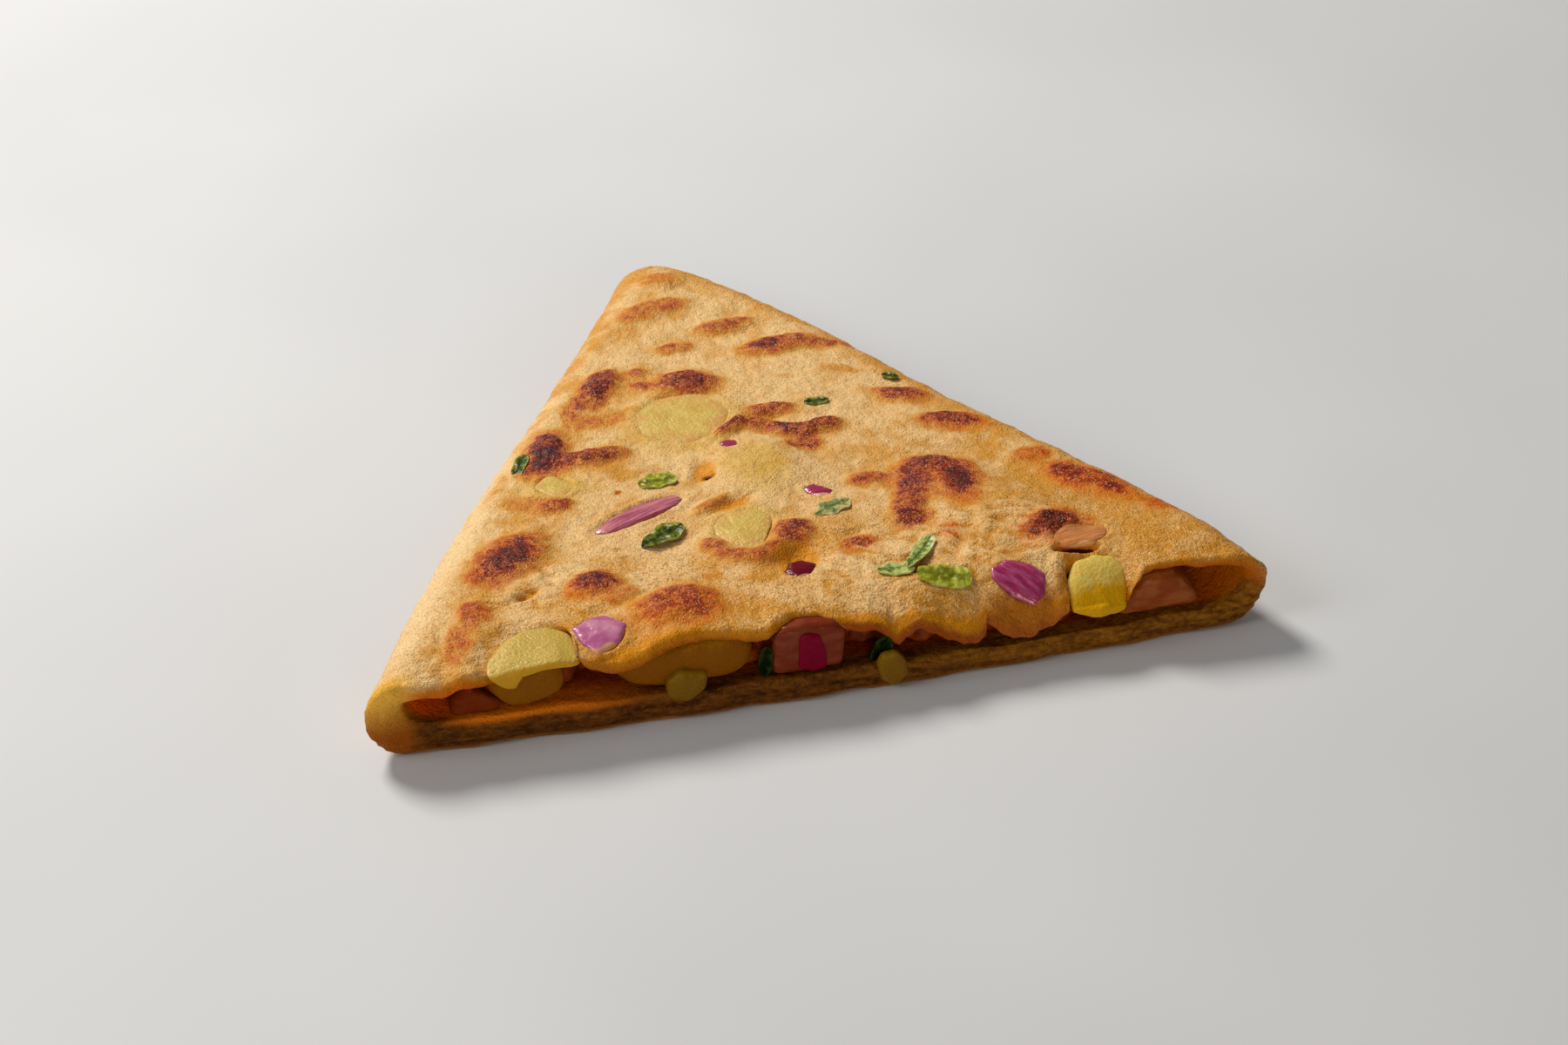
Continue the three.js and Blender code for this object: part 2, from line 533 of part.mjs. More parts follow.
// Every piece but the bread and the filling: its name, its look and how it is shaped.
const PIECES = [
  // Diced potato in the open edge.
  ["potato_front_left", "potato", dice,
    { corners: [[-55.4, -60.9], [-54.9, -57.4], [-51.8, -53.2], [-47.6, -51.2], [-43.6, -51.2],
      [-41, -54], [-40.9, -60.5]],
    under: [[-55.2, 12.9], [-53.6, 11.2], [-52.2, 10], [-51, 9.9], [-49.8, 12.1], [-46.4, 12.9],
      [-41, 12.7]],
    near: 0, crisp: 6, softness: 4, fine: 14 }],
  ["potato_under_left", "potato", dice,
    { corners: [[-55.8, 11.6], [-54.2, 8.2], [-52.2, 6.2], [-49.6, 5.8], [-45.4, 6.7],
      [-43, 8], [-42.8, 11.6], [-45, 13.2]], near: -60.3, far: -53 }],
  ["potato_mid", "potato", dice,
    { corners: [[-36.2, 10], [-32.6, 6.2], [-27, 5], [-20, 5.4], [-15.2, 5], [-12.4, 7],
      [-12, 10.6], [-14.2, 12.8], [-21.5, 13.4], [-30.5, 11.8]],
    near: -60.2, far: -53.4, crisp: 3.2, softness: 5, fine: 13 }],
  ["potato_small", "potato", dice,
    { corners: [[-27.2, 7.4], [-24.6, 9.2], [-20.2, 7.9], [-20.6, 5.2], [-23.6, 2.8], [-26.8, 4.2]],
      near: -62.1, far: -58.6, crisp: 3.4 }],
  ["potato_drip", "potato", dice,
    { corners: [[7.4, 5.2], [8.4, 6.9], [10.8, 7], [12.2, 5.2], [12.7, 2.2], [10.4, 0.4],
      [8.2, 1.8]], near: -62.9, far: -60.4, crisp: 3 }],
  ["potato_cube_right", "potato", dice,
    { corners: [[40.5, -61.4], [40.5, -57.6], [43, -54], [46.6, -53], [50, -53.8], [51.2, -56],
      [49.8, -61], [45.2, -62]], under: [[40, 8.6], [44, 7], [48, 6.6], [50, 7.2]],
    near: 0, crisp: 6, softness: 4, fine: 14 }],

  // Diced onion in the open edge.
  ["onion_front_left", "onion", dice,
    { corners: [[-40.6, -53.8], [-37.7, -51.8], [-34.8, -51.2], [-31.7, -54.3], [-33.5, -57.6],
      [-37.6, -59.9], [-39.6, -57.1]], near: 0.4, under: 2.4, crisp: 4.4, softness: 3 }],
  ["onion_front_right", "onion", dice,
    { corners: [[28.5, -54.2], [31.2, -52.7], [35, -54.1], [37.4, -56], [36.4, -58.7],
      [34.4, -59.8], [31, -58.1], [28.5, -55.8]], near: 0.4, under: 2.2, crisp: 4.4, softness: 3 }],
  ["onion_mid_skin", "onion", dice,
    { corners: [[-5.4, 6.2], [-5.3, 12.2], [-4, 12.9], [-2, 12.2], [-0.8, 8.6], [-0.8, 5.6],
      [-2.9, 5.1]], near: -61.6, far: -60.6, softness: 4 }],
  ["onion_mid", "onionPale", dice,
    { corners: [[-9.4, 4.9], [-9.3, 12.6], [-7.6, 13.8], [-4, 14], [0.6, 13.6], [2.7, 12],
      [2.2, 5]], near: -61, far: -55.4, crisp: 6, softness: 4 }],
  ["onion_left_hollow", "onionPale", dice,
    { corners: [[-61.2, 5.4], [-61, 8.8], [-58.4, 11.3], [-52.4, 6.6], [-53.6, 5.2]],
      near: -59.4, far: -52, crisp: 5, softness: 4 }],
  ["onion_right_hollow", "onionPale", dice,
    { corners: [[48.4, 4.6], [51, 9.8], [52.8, 12.5], [55.5, 13.1], [58.4, 12.6], [60.6, 10.4],
      [62.8, 7.4], [64.2, 5]], near: -60, far: -51, softness: 4, fine: 13 }],

  // Potato and onion that show through the top face.
  ["onion_flap", "onionPale", dice,
    { corners: [[39.7, -49.7], [42.2, -46.9], [44.6, -45.2], [47.8, -44.2], [51.4, -47.3],
      [49.2, -50.4], [47.4, -51.4], [41.4, -51]], near: 0.4, under: 1.6, crisp: 3, softness: 4 }],
  ["potato_top_large", "potato", dice,
    { corners: [[-17.4, 10.8], [-11.3, 12.9], [-3.2, 12.3], [-0.4, 6.4], [-4.2, 0],
      [-11.4, -2.8], [-17.4, 0.4], [-18.6, 5.6]], near: 0.3, under: 1.4, softness: 9 }],
  ["potato_top_left", "potato", dice,
    { corners: [[-39.3, -11], [-35.3, -7.7], [-31, -12.8], [-35.4, -16]],
      near: 0.3, under: 1.3, softness: 9 }],
  ["potato_top_front", "potato", dice,
    { corners: [[-12.6, -30.8], [-7.8, -27.1], [-2, -27.5], [-2, -32.2], [-7.6, -38.5],
      [-12.2, -35.8]], near: 0.3, under: 1.3 }],
  ["onion_sliver", "onion", dice,
    { corners: [[-31.9, -27.2], [-28.2, -23.8], [-23.7, -21.2], [-19.1, -19.8], [-15.9, -19],
      [-14.9, -20.8], [-17.6, -23.4], [-21.8, -25.1], [-26.1, -27], [-29.7, -27.9]],
    near: 0.3, under: 1.2, crisp: 3, softness: 2 }],
  ["onion_bit_upper", "onion", dice,
    { corners: [[-5.6, -5.4], [-3.8, -4.4], [-2.1, -5.6], [-2.4, -8.4], [-4.2, -9.2],
      [-5.5, -7.8]], near: 0.3, under: 1.2, crisp: 3, fine: 9 }],
  ["onion_bit_middle", "onion", dice,
    { corners: [[4.9, -23.4], [6.5, -22.2], [8.1, -23], [10, -25], [9.1, -26.5], [7.1, -26.8],
      [5.5, -25.3]], near: 0.4, under: 1.2, crisp: 3, softness: 4, fine: 9 }],
  ["onion_bit_front", "onion", dice,
    { corners: [[-4.2, -46.4], [-2.8, -44.2], [-0.4, -43.9], [1.5, -45.4], [0.2, -47.9],
      [-2.4, -48.6]], near: 0.1, under: 2.2, crisp: 2.6 }],

  // Coriander leaves on the top face.
  ["leaf_upper", "leaf", leaf, { at: [-18.1, -14.4], size: [6.8, 5], turn: 8 }],
  ["leaf_lower", "leaf", leaf, { at: [-20.9, -31.2], size: [8.8, 4.6], turn: 28 }],
  ["leaf_back", "leaf", leaf,
    { at: [14.5, 3.5], size: [4.4, 2.6], turn: 5, lift: 0.2, curl: 0.2 }],
  ["leaf_middle", "leaf", leaf,
    { at: [8.2, -30.8], size: [7, 4.4], turn: 24, lift: 0.1, curl: 0.2 }],
  ["leaf_cluster_left", "leaf", leaf, { at: [13.7, -50.3], size: [6, 3.8], turn: -6 }],
  ["leaf_cluster_top", "leaf", leaf, { at: [19, -47.1], size: [8.6, 3], turn: 52 }],
  ["leaf_cluster_right", "leaf", leaf,
    { at: [20.8, -54], size: [9, 4.8], turn: -16, teeth: 2 }],
  ["leaf_left_fold", "leaf", leaf, { at: [-39.6, -3.4], size: [8, 2.8], turn: 66 }],
  ["leaf_right_fold", "leaf", leaf, { at: [29.6, 9.2], size: [3.2, 2.2], turn: -28, lift: 0.3 }],

  // Coriander in the open edge.
  ["herb_open_edge", "leaf", standingLeaf, { at: [-10.6, -59.9, 7.9], size: [2.7, 1, 5.8] }],
  ["leaf_open_edge", "leaf", standingLeaf, { at: [8.5, -60.2, 6.4], size: [4.2, 0.9, 6] }],
];

// The bread and the filling make room for each piece, and a later piece for an earlier one.
function assemble() {
  const food = new THREE.Group();
  let bread = foldedSheet();
  let filling = fillingSolid();
  const rooms = [];
  for (const [name, colour, shape, sizes] of PIECES) {
    let solid = shape(sizes);
    for (const room of rooms) solid = solid.subtract(room);
    const room = shape(sizes, GAP);
    bread = bread.subtract(room);
    filling = filling.subtract(room);
    rooms.push(room);
    food.add(toMesh(name, solid, look(colour)));
  }
  food.add(toMesh("filling", filling, look("filling")));
  food.add(toMesh("bread", bread, look("dough")));
  return food;
}

export default assemble();
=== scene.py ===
# %% [markdown]
# # A folded paratha
#
# A paratha is a flat bread that is rolled, filled, folded and fried on a hot griddle. This one
# is folded to a triangle round potato, onion and coriander, and is open along its front edge.
# The script loads the fixed frame, models each piece of food in place of its plain solid, and
# gives each a finish: griddled dough, moist potato, wet onion, wilted leaf and dark mash.

import math

import bmesh
import bpy
import numpy as np
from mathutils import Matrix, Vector, noise


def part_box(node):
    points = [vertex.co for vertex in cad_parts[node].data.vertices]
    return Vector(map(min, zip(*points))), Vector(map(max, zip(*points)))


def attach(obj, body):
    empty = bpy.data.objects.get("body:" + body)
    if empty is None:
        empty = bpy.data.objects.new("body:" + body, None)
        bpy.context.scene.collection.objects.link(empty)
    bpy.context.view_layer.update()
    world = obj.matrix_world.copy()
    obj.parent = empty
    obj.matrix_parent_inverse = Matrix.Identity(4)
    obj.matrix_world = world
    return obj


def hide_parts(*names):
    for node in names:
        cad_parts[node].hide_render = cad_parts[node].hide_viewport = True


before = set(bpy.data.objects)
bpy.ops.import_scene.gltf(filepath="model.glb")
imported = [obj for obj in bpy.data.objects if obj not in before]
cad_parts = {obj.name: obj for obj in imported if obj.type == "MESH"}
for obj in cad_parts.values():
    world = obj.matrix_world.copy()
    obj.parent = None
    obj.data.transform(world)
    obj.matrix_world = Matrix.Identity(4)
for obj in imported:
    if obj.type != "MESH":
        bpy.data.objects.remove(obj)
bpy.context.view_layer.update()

# %% [markdown]
# The food is small, so every size below is in millimetres, and a mesh is scaled to metres only
# when it is stored. The triangle's own sizes come first: all the pieces lie on or in it, so the
# outline, the height of the top face and the sag of its edge are worked out once, from these.
# In these sizes y is 0 a little in front of the middle, so storing also shifts by CENTRE_Y.

# %% Sizes of the folded triangle, in millimetres
MM = 0.001
bread_low, bread_high = (np.array(corner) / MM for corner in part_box("bread"))

CENTRE_Y = 1.5
TIP_Y = float(bread_high[1]) + CENTRE_Y
OPEN_Y = -61.0
OPEN_WIDTH = 150.0
TIP_RADIUS = 7.0
TIP_SHIFT = -3.1
SIDE_LEAN = math.radians(29.5)
LEFT_BULGE = 1.4
LEFT_SLANT = 1.0
RIGHT_BULGE = 3.4
RIGHT_SLANT = -0.5
RIGHT_WAVE = 1.3
OPEN_HEIGHT = 15.4
TIP_HEIGHT = 9.3
FOLD_REACH = 7.0
NOSE_REACH = 7.0
TOP_SHEET = 2.8
LIP_LEFT = 2.5
LIP_RIGHT = 1.6
FOLD_WALL_LEFT = 6.0
FOLD_WALL_RIGHT = 3.6
BASE_LEFT = 5.7
BASE_MIDDLE = 4.9
BASE_RIGHT = 4.5
BASE_RIM = 0.9
BASE_BOW = 1.8
LIP_REACH = 11.0
POCKET_TIP_Y = 44.0
print("the bread is", np.round(bread_high - bread_low, 1), "mm")


# %% Small helpers for smooth shapes
def smoothstep(value, start, end):
    """0 up to start, 1 from end on, and a soft curve between them."""
    t = np.clip((value - start) / (end - start), 0, 1)
    return t * t * (3 - 2 * t)


def lerp(a, b, t):
    return a + (b - a) * t


def along(y):
    """0 at the open edge, 1 at the tip."""
    return np.clip((y - OPEN_Y) / (TIP_Y - OPEN_Y), 0, 1)


def outline(y):
    """The left and right edge of the triangle at y."""
    centre = TIP_Y - TIP_RADIUS
    tangent = centre + TIP_RADIUS * math.sin(SIDE_LEAN)
    round_part = np.sqrt(np.maximum(0, TIP_RADIUS**2 - (y - centre) ** 2))
    corner = centre + TIP_RADIUS / math.sin(SIDE_LEAN)
    half = np.where(y > tangent, round_part, (corner - y) * math.tan(SIDE_LEAN))
    t = along(y)
    bow, slant, wave = (np.sin(k * np.pi * t) for k in (1, 2, 3))
    left = TIP_SHIFT * t - half - LEFT_BULGE * bow - LEFT_SLANT * slant
    right = TIP_SHIFT * t + half + RIGHT_BULGE * bow + RIGHT_SLANT * slant + RIGHT_WAVE * wave
    return left, right


def crown_height(y):
    return lerp(OPEN_HEIGHT, TIP_HEIGHT, along(y))


def lumpy(points, size, octaves=2):
    """Smooth noise, about -1 to 1, at points in millimetres, with lumps of that size."""
    flat = np.reshape(points, (-1, 3)) / size
    values = [noise.fractal(Vector(point), 1.0, 2.0, octaves) for point in flat]
    return np.reshape(values, np.shape(points)[:-1])


left_edge, right_edge = outline(np.array([OPEN_Y]))
print("the open edge runs from x", left_edge.round(1), "to", right_edge.round(1))

# %% [markdown]
# The top sheet's front edge is torn and stretched, not cut. It is written as a short list from
# left to right: how high its underside hangs, and how far it is set back. Between two entries
# an S curve keeps it smooth. A second list holds notches, where a dice of potato pushed through
# the edge, so the sheet ends behind it.

# %% The ragged edge of the top sheet
LIP = np.array([
    # x, height of the underside, setback, width of the clear amber band
    (-76, 12.6, 0.6, 0.6), (-71.5, 12.2, 0.3, 1.0), (-67.4, 11.0, 0.0, 2.2),
    (-62, 10.5, 0.0, 2.4), (-59.4, 11.7, 0.3, 2.0), (-57.6, 11.5, 0.4, 1.6),
    (-56, 11.3, 0.6, 1.6), (-50, 12.2, 1.2, 1.2), (-44, 12.6, 1.2, 1.2),
    (-41.4, 12.0, 0.2, 2.0), (-38.4, 10.8, -0.6, 3.4), (-35, 10.4, -0.7, 4.2),
    (-31.5, 11.0, -0.2, 4.2), (-28, 12.2, 0.9, 3.8), (-24.7, 12.7, 1.6, 3.2),
    (-21.6, 12.5, 1.9, 2.6), (-18, 12.1, 1.5, 2.2), (-13.5, 11.5, 0.8, 2.2),
    (-10.6, 11.4, 0.7, 2.0), (-8.8, 12.6, 1.8, 1.3), (-6, 12.9, 3.0, 0.8),
    (-2, 12.8, 2.8, 0.9), (0, 12.0, 1.3, 2.2), (2.6, 11.2, 0.5, 3.0),
    (5, 10.7, 0.1, 3.2), (7, 10.9, 0.0, 3.2), (9.2, 9.4, -0.4, 3.6),
    (10.8, 7.6, -0.8, 4.0), (12.6, 8.8, -0.5, 3.8), (14.4, 9.8, 0.0, 3.4),
    (17, 8.6, -0.4, 4.0), (19.6, 7.0, -0.7, 4.4), (22.4, 5.8, -0.9, 4.6),
    (24.4, 5.6, -0.9, 4.4), (25.6, 6.4, -0.5, 3.6), (26.3, 8.6, 0.4, 2.4),
    (27.4, 7.6, -0.2, 3.0), (29, 6.2, -0.8, 5.0), (31, 5.4, -1.0, 6.0),
    (33.8, 5.1, -1.1, 6.0), (35, 6.0, -0.8, 5.6), (37.2, 6.2, -0.6, 5.0),
    (39, 7.6, -0.3, 4.0), (41, 8.4, 0.0, 2.6), (46, 8.4, 0.2, 2.0),
    (49.8, 7.6, 0.0, 2.4), (51.2, 8.6, 0.2, 2.4), (52.8, 12.0, 1.2, 1.6),
    (55, 13.0, 2.0, 1.4), (57, 12.8, 1.8, 1.4), (59.4, 13.1, 2.0, 1.2),
    (62.5, 12.5, 1.6, 1.2), (66, 12.4, 1.3, 1.0), (71, 12.6, 0.9, 0.8),
    (76, 12.4, 0.5, 0.6),
])

NOTCHES = [
    # from x, to x, depth
    (-54.4, -41.9, 7.2),
    (41.4, 49.4, 5.6),
]


def between(x, column):
    """A column of LIP at x, with an S curve from each entry to the next."""
    index = np.clip(np.searchsorted(LIP[:, 0], x) - 1, 0, len(LIP) - 2)
    a, b = LIP[index], LIP[index + 1]
    t = np.clip((x - a[..., 0]) / (b[..., 0] - a[..., 0]), 0, 1)
    return lerp(a[..., column], b[..., column], t * t * (3 - 2 * t))


def lip_y(x):
    return OPEN_Y + between(x, 2)


def notch(x):
    """How far a dice has pushed the edge back at x. The notch has round inner corners."""
    depth = np.zeros_like(x)
    for start, end, reach in NOTCHES:
        across = np.abs((x - (start + end) / 2) / ((end - start) / 2))
        depth = np.maximum(depth, reach * np.clip(1 - across**4, 0, 1) ** 0.5)
    return depth


def base_y(x):
    bow = BASE_BOW * np.cos(np.pi * x / OPEN_WIDTH)
    return OPEN_Y + 0.6 - bow + 0.25 * np.sin(0.35 * x)


def edge_share(x, y):
    """0 over the field and 1 at the edge of the top sheet."""
    return np.clip((lip_y(x) + LIP_REACH - y) / LIP_REACH, 0, 1) ** 2


def lip_thickness(x):
    return lerp(LIP_LEFT, LIP_RIGHT, smoothstep(x, -20, 5))


def sag(x, y):
    """How far the top sheet hangs down at its front edge."""
    return (crown_height(lip_y(x)) - lip_thickness(x) - between(x, 1)) * edge_share(x, y)


print("lowest point of the torn edge:", LIP[:, 1].min(), "mm above the table")

# %% [markdown]
# A griddled top face is made of what the heat did to it: blisters that rose and burnt, pale
# ground between them, lumps of filling that push up from below, pits and tears. Each of these
# is one row in a list: where it is, its size and turn, how high it rises, and how brown it is.
# The same rows shape the mesh and paint it, so colour and relief always match.

# %% Blisters, lumps and hollows of the top face
SPOTS = [
    # x, y, length, width, turn in degrees, height, brown
    (-2.4, 54.6, 9, 6, 0, 0.7, 0.17), (-6.4, 43.6, 14, 6.4, 14, 0.8, 0.25),
    (-13.8, 35.5, 11, 7, 0, 0, 0.07), (5.6, 34.7, 10.5, 4.4, 8, 1, 0.3),
    (-5.4, 29.4, 7.6, 3.6, 10, 0.6, 0.26), (13.7, 25.4, 14, 5.4, 5, 1.1, 0.2),
    (10.8, 25.9, 7, 4.4, 6, 0, 0.48), (17.6, 26.2, 7, 4, 20, 0, 0.1),
    (22.8, 23.4, 8, 3, -18, 0, 0.28), (-6.9, 16.2, 10.8, 7.2, -4, 1.5, 0.46),
    (-4.6, 15.2, 5, 4.4, -10, 0, 0.3), (-20.8, 19.6, 9.6, 6, 55, 1.1, 0.52),
    (-24.4, 14.6, 9, 4.6, 60, 0.5, 0.25), (-28, 10.6, 8, 3.4, 60, 0, 0.16),
    (-14.2, 17.3, 2.4, 2, 0, 0.3, 0.14), (-13.6, 22, 2.8, 2.2, 0, 0.2, 0.19),
    (-22.5, 7.4, 9, 4.4, 10, 0, 0.16), (-26.4, 6.6, 5, 3, 20, 0, 0.07),
    (5.8, 3.4, 7.6, 3.4, -4, 0.9, 0.42), (-2.4, -1.4, 7, 3, 32, 1, 0.39),
    (2.6, -1.2, 7, 3.2, -20, 1.2, 0.33), (7.6, -4.1, 7, 3.2, -16, 1.2, 0.51),
    (13.4, -4.4, 7, 3.6, 8, 1.3, 0.46), (9.4, -8.8, 6, 4, 0, 0, 0.44),
    (-34.6, 0.2, 11, 6, 74, 1.3, 0.64), (-35.6, -3.4, 7, 4.6, 56, 0, 0.72),
    (-29.4, -4.2, 9, 4.4, -4, 1.1, 0.42), (-24.6, -3.4, 7.4, 4, 10, 0.8, 0.29),
    (-36.2, -17.6, 6, 3, 4, 0.7, 0.34), (-40.8, -15.8, 9, 4.6, -20, 0, 0.15),
    (-46.8, -30.6, 17, 10, 36, 1.3, 0.17), (-46.4, -32.2, 9, 6, 44, 0, 0.71),
    (-43.4, -27.4, 6, 5, 30, 0, 0.12), (-51, -35, 8, 5, 20, 0, 0.14),
    (-34.6, -41.8, 7.6, 5.4, 14, 1.2, 0.64), (-30.8, -46.4, 7, 2.4, 25, 0, 0.15),
    (-23.4, -51.2, 13.5, 9, 8, 1.3, 0.36), (-19.2, -54.2, 5.4, 3.2, 24, 0, 0.14),
    (-55, -46.6, 7.4, 5.4, 68, 0.7, 0.26), (-58.6, -53.2, 10, 4, 72, 0, 0.2),
    (-13.6, -37.2, 6, 3.8, -54, 1, 0.29), (-9.6, -40.8, 6.4, 3.8, -18, 1, 0.21),
    (-4.6, -40.2, 6, 3.8, 20, 1, 0.2), (-0.2, -36.4, 8.4, 6, 52, 1.3, 0.32),
    (0.6, -35.2, 4, 3.6, 30, 0, 0.3), (16.3, -22.4, 6.6, 3.8, 0, 0.7, 0.34),
    (24, -22.8, 7, 5.4, 34, 0.4, 0.38), (29, -21.6, 8, 4.6, -22, 0.4, 0.38),
    (28.6, -25.4, 15, 12, -20, 1.3, 0.16), (30.5, -28.4, 9.4, 5.2, 82, 0, 0.72),
    (22.6, -28.6, 7, 5, 60, 0.4, 0.42), (20.3, -34, 8.4, 5.4, 62, 1, 0.28),
    (19.8, -37.2, 6, 4.4, -4, 0, 0.34), (29.8, 2.6, 9, 4.6, -24, 0.8, 0.48),
    (35.6, -8.2, 10, 4.4, -20, 0.8, 0.52), (45.2, -22.4, 7, 4, 0, 0.4, 0.16),
    (47.6, -22.8, 2.6, 1.6, -30, 0, 0.14), (53, -32.4, 15, 6.4, -42, 0.8, 0.32),
    (49.4, -29, 6, 4.4, -40, 0, 0.26), (61.6, -42.8, 8, 4, -30, 0, 0.16),
    (42, -44.6, 9, 5.8, 14, 1, 0.84), (9.8, -41.2, 6, 3.6, 12, 0.3, 0.39),
    (-15.9, -44.5, 3, 2, 0, 0, 0.15), (22.2, 14, 8, 3.6, -20, 0, 0.11),
    (25.4, -42.4, 5, 3.4, 60, 0, 0.16), (-44.6, -8.6, 9, 3, 60, 0, 0.1),
    (-11.2, -24.6, 7.6, 2.8, 34, 0.9, 0.2), (-29.4, -32.8, 1.8, 0.8, 0, 0, 0.18),
    (-25.6, -16.3, 1.4, 1, 0, 0, 0.34), (-47.6, -2.6, 6, 2, 60, 0, 0.12),
    (-18.4, 9.6, 3, 2, 30, 0, 0.09), (55.8, -36.2, 6, 3.6, -30, 0, 0.18),
    (-13.6, 21.7, 4, 3.6, 0, 0.3, 0.16), (-14.3, 16.6, 2.8, 2.4, 0, 0.3, 0.18),
]

SWELLINGS = [
    # x, y, length, width, turn, height of a lump of filling below the sheet
    (-0.7, -14, 17, 17, 0, 1.5), (-9.4, 4.8, 22, 20, 0, 0.5), (-7.4, -32, 14, 14, 0, 0.6),
    (34, -37, 22, 15, -12, 1.0), (12, -33, 16, 13, 0, 0.6), (-58, -38, 12, 22, 20, 0.4),
    (-22.6, -26.4, 18, 12, 20, 0.4), (4, 20, 22, 16, 10, 0.4), (26, -9, 16, 14, -30, 0.5),
]

HOLLOWS = [
    # x, y, length, width, turn, depth, and how steep its wall is
    (-9.7, -13.2, 7.0, 3.6, 68, 1.1, 1.3), (-9.2, -15.0, 2.2, 2.0, 0, 2.4, 2.4),
    (-7.2, -25.0, 8.4, 3.2, 30, 0.9, 1.3), (-0.8, -42.6, 7.0, 7.4, 0, 1.3, 1.1),
    (-45.6, -42.4, 6.0, 1.5, 32, 0.9, 1.8), (-49.0, -44.4, 5.0, 1.2, 20, 0.4, 1.4),
    (-42.0, -38.6, 5.0, 1.0, 30, 0.4, 1.4), (44.0, -51.7, 6.6, 2.0, -4, 2.6, 2.2),
    (5.6, 1.2, 7.0, 1.6, -6, 0.6, 1.4), (-9.4, 11.6, 14.0, 1.6, -4, 0.5, 1.4),
    (10.4, -38.4, 6.0, 2.0, 10, 0.4, 1.4), (25.4, -47.0, 10.0, 2.0, 58, 0.6, 1.4),
    (15.4, -50.6, 12.0, 5.0, -4, 0.7, 1.4), (-18.6, -33.0, 9.0, 3.4, 24, 0.4, 1.4),
    (34.0, -48.6, 9.0, 1.8, 8, 0.5, 1.4), (8.4, -10.4, 5.0, 1.8, -30, 0.3, 1.4),
    (-14.2, -14.0, 3.6, 0.8, 60, 0.4, 1.4), (-7.6, -10.2, 3.4, 0.8, 60, 0.4, 1.4),
    (-30.0, -47.8, 12.0, 1.8, 24, 0.5, 1.4), (30.0, -15.4, 12.0, 1.4, -24, 0.4, 1.4),
]

# A piece that shows through the top lies in a bed, which its own outline hides.
BEDS = [
    # x, y, length, width, turn, depth
    (-9.4, 4.2, 14, 13, 0, 0.7), (-7.3, -33.0, 8.6, 9, 0, 0.7), (-35.2, -11.8, 5.4, 5.4, 0, 0.6),
    (-23.3, -23.6, 16.4, 4.4, 22, 0.9), (-3.8, -6.8, 2.6, 3.2, 0, 0.7),
    (7.4, -24.6, 3.8, 2.8, -14, 0.7), (-1.4, -46.2, 4.4, 3.6, 0, 1.0),
    (-36.3, -55.4, 6.4, 6.0, 0, 1.2), (32.9, -56.2, 6.8, 4.8, -20, 1.2),
    (45.6, -48.4, 8.6, 4.4, 0, 0.9), (-48.2, -57.6, 14.2, 12.4, 0, 1.1),
    (45.8, -58.5, 10.6, 11, 0, 1.1),
]


def reach_of(x, y, cx, cy, length, width, turn):
    """1 on the ellipse of that length and width, 0 in its middle."""
    angle = math.radians(turn)
    u = (x - cx) * math.cos(angle) + (y - cy) * math.sin(angle)
    v = (y - cy) * math.cos(angle) - (x - cx) * math.sin(angle)
    return np.hypot(2 * u / length, 2 * v / width)


def blot(x, y, cx, cy, length, width, turn=0, power=4):
    """1 in the middle of the ellipse, falling to nothing a little outside it."""
    return np.exp(-reach_of(x, y, cx, cy, length, width, turn) ** power)


def rise(x, y):
    """How far blisters and lumps lift the top face."""
    height = 0.35 * np.sin(0.11 * x + 0.05 * y) * np.cos(0.13 * y - 0.04 * x)
    blisters = [(*place, lift) for *place, lift, _ in SPOTS if lift]
    for *place, lift in blisters + SWELLINGS:
        height += lift * np.exp(-0.8 * reach_of(x, y, *place) ** 4)
    return height


def pits(x, y):
    """How far pits and tears go down."""
    depth = np.zeros_like(x)
    for *place, down, steep in HOLLOWS:
        reach = reach_of(x, y, *place)
        depth = np.maximum(depth, down * np.exp(-0.7 * reach ** (2 * steep)))
    return depth


def sink(x, y):
    """How far pits, tears and the beds of pieces go down."""
    depth = pits(x, y)
    for *place, down in BEDS:
        depth = np.maximum(depth, down * np.exp(-0.7 * reach_of(x, y, *place) ** 6))
    return depth


def bank(x, y):
    """How far the dough swells round each bed."""
    height = np.zeros_like(x)
    for *place, _ in BEDS:
        reach = reach_of(x, y, *place)
        height = np.maximum(height, 0.28 * np.exp(-(((reach - 1.35) / 0.2) ** 2)))
    return height


def top_height(x, y):
    """The top face without its pits: what a piece on the bread lies on."""
    x, y = np.asarray(x, float), np.asarray(y, float)
    left, right = outline(y)
    to_side = np.minimum(x - left, right - x)
    return crown_height(y) + smoothstep(to_side, 1, FOLD_REACH + 2) * rise(x, y) - sag(x, y)


def brownness(x, y, ragged):
    """0 on pale dough, about 1 on burnt. Spots add up, and each has an orange halo.

    The halo reaches furthest towards the open edge, as painted shade on the side of a blister that
    faces away from the lamp.
    """
    pale = np.ones_like(x)
    for cx, cy, length, width, turn, _, brown in SPOTS:
        reach = reach_of(x, y, cx, cy, length, width, turn) + 0.24 * ragged
        middle = brown * (1 - smoothstep(reach, 0.55, 1.2))
        # Painted shade: the halo is shifted towards the open edge.
        below = reach_of(x, y, cx, cy - 0.16 * width, length, width, turn) + 0.15 * ragged
        halo = 0.36 * brown**0.8 * (1 - smoothstep(below, 0.7, 2.3))
        pale *= (1 - middle) * (1 - halo)
    return 1 - pale


print(len(SPOTS), "spots,", len(SWELLINGS), "swellings and", len(HOLLOWS), "hollows")

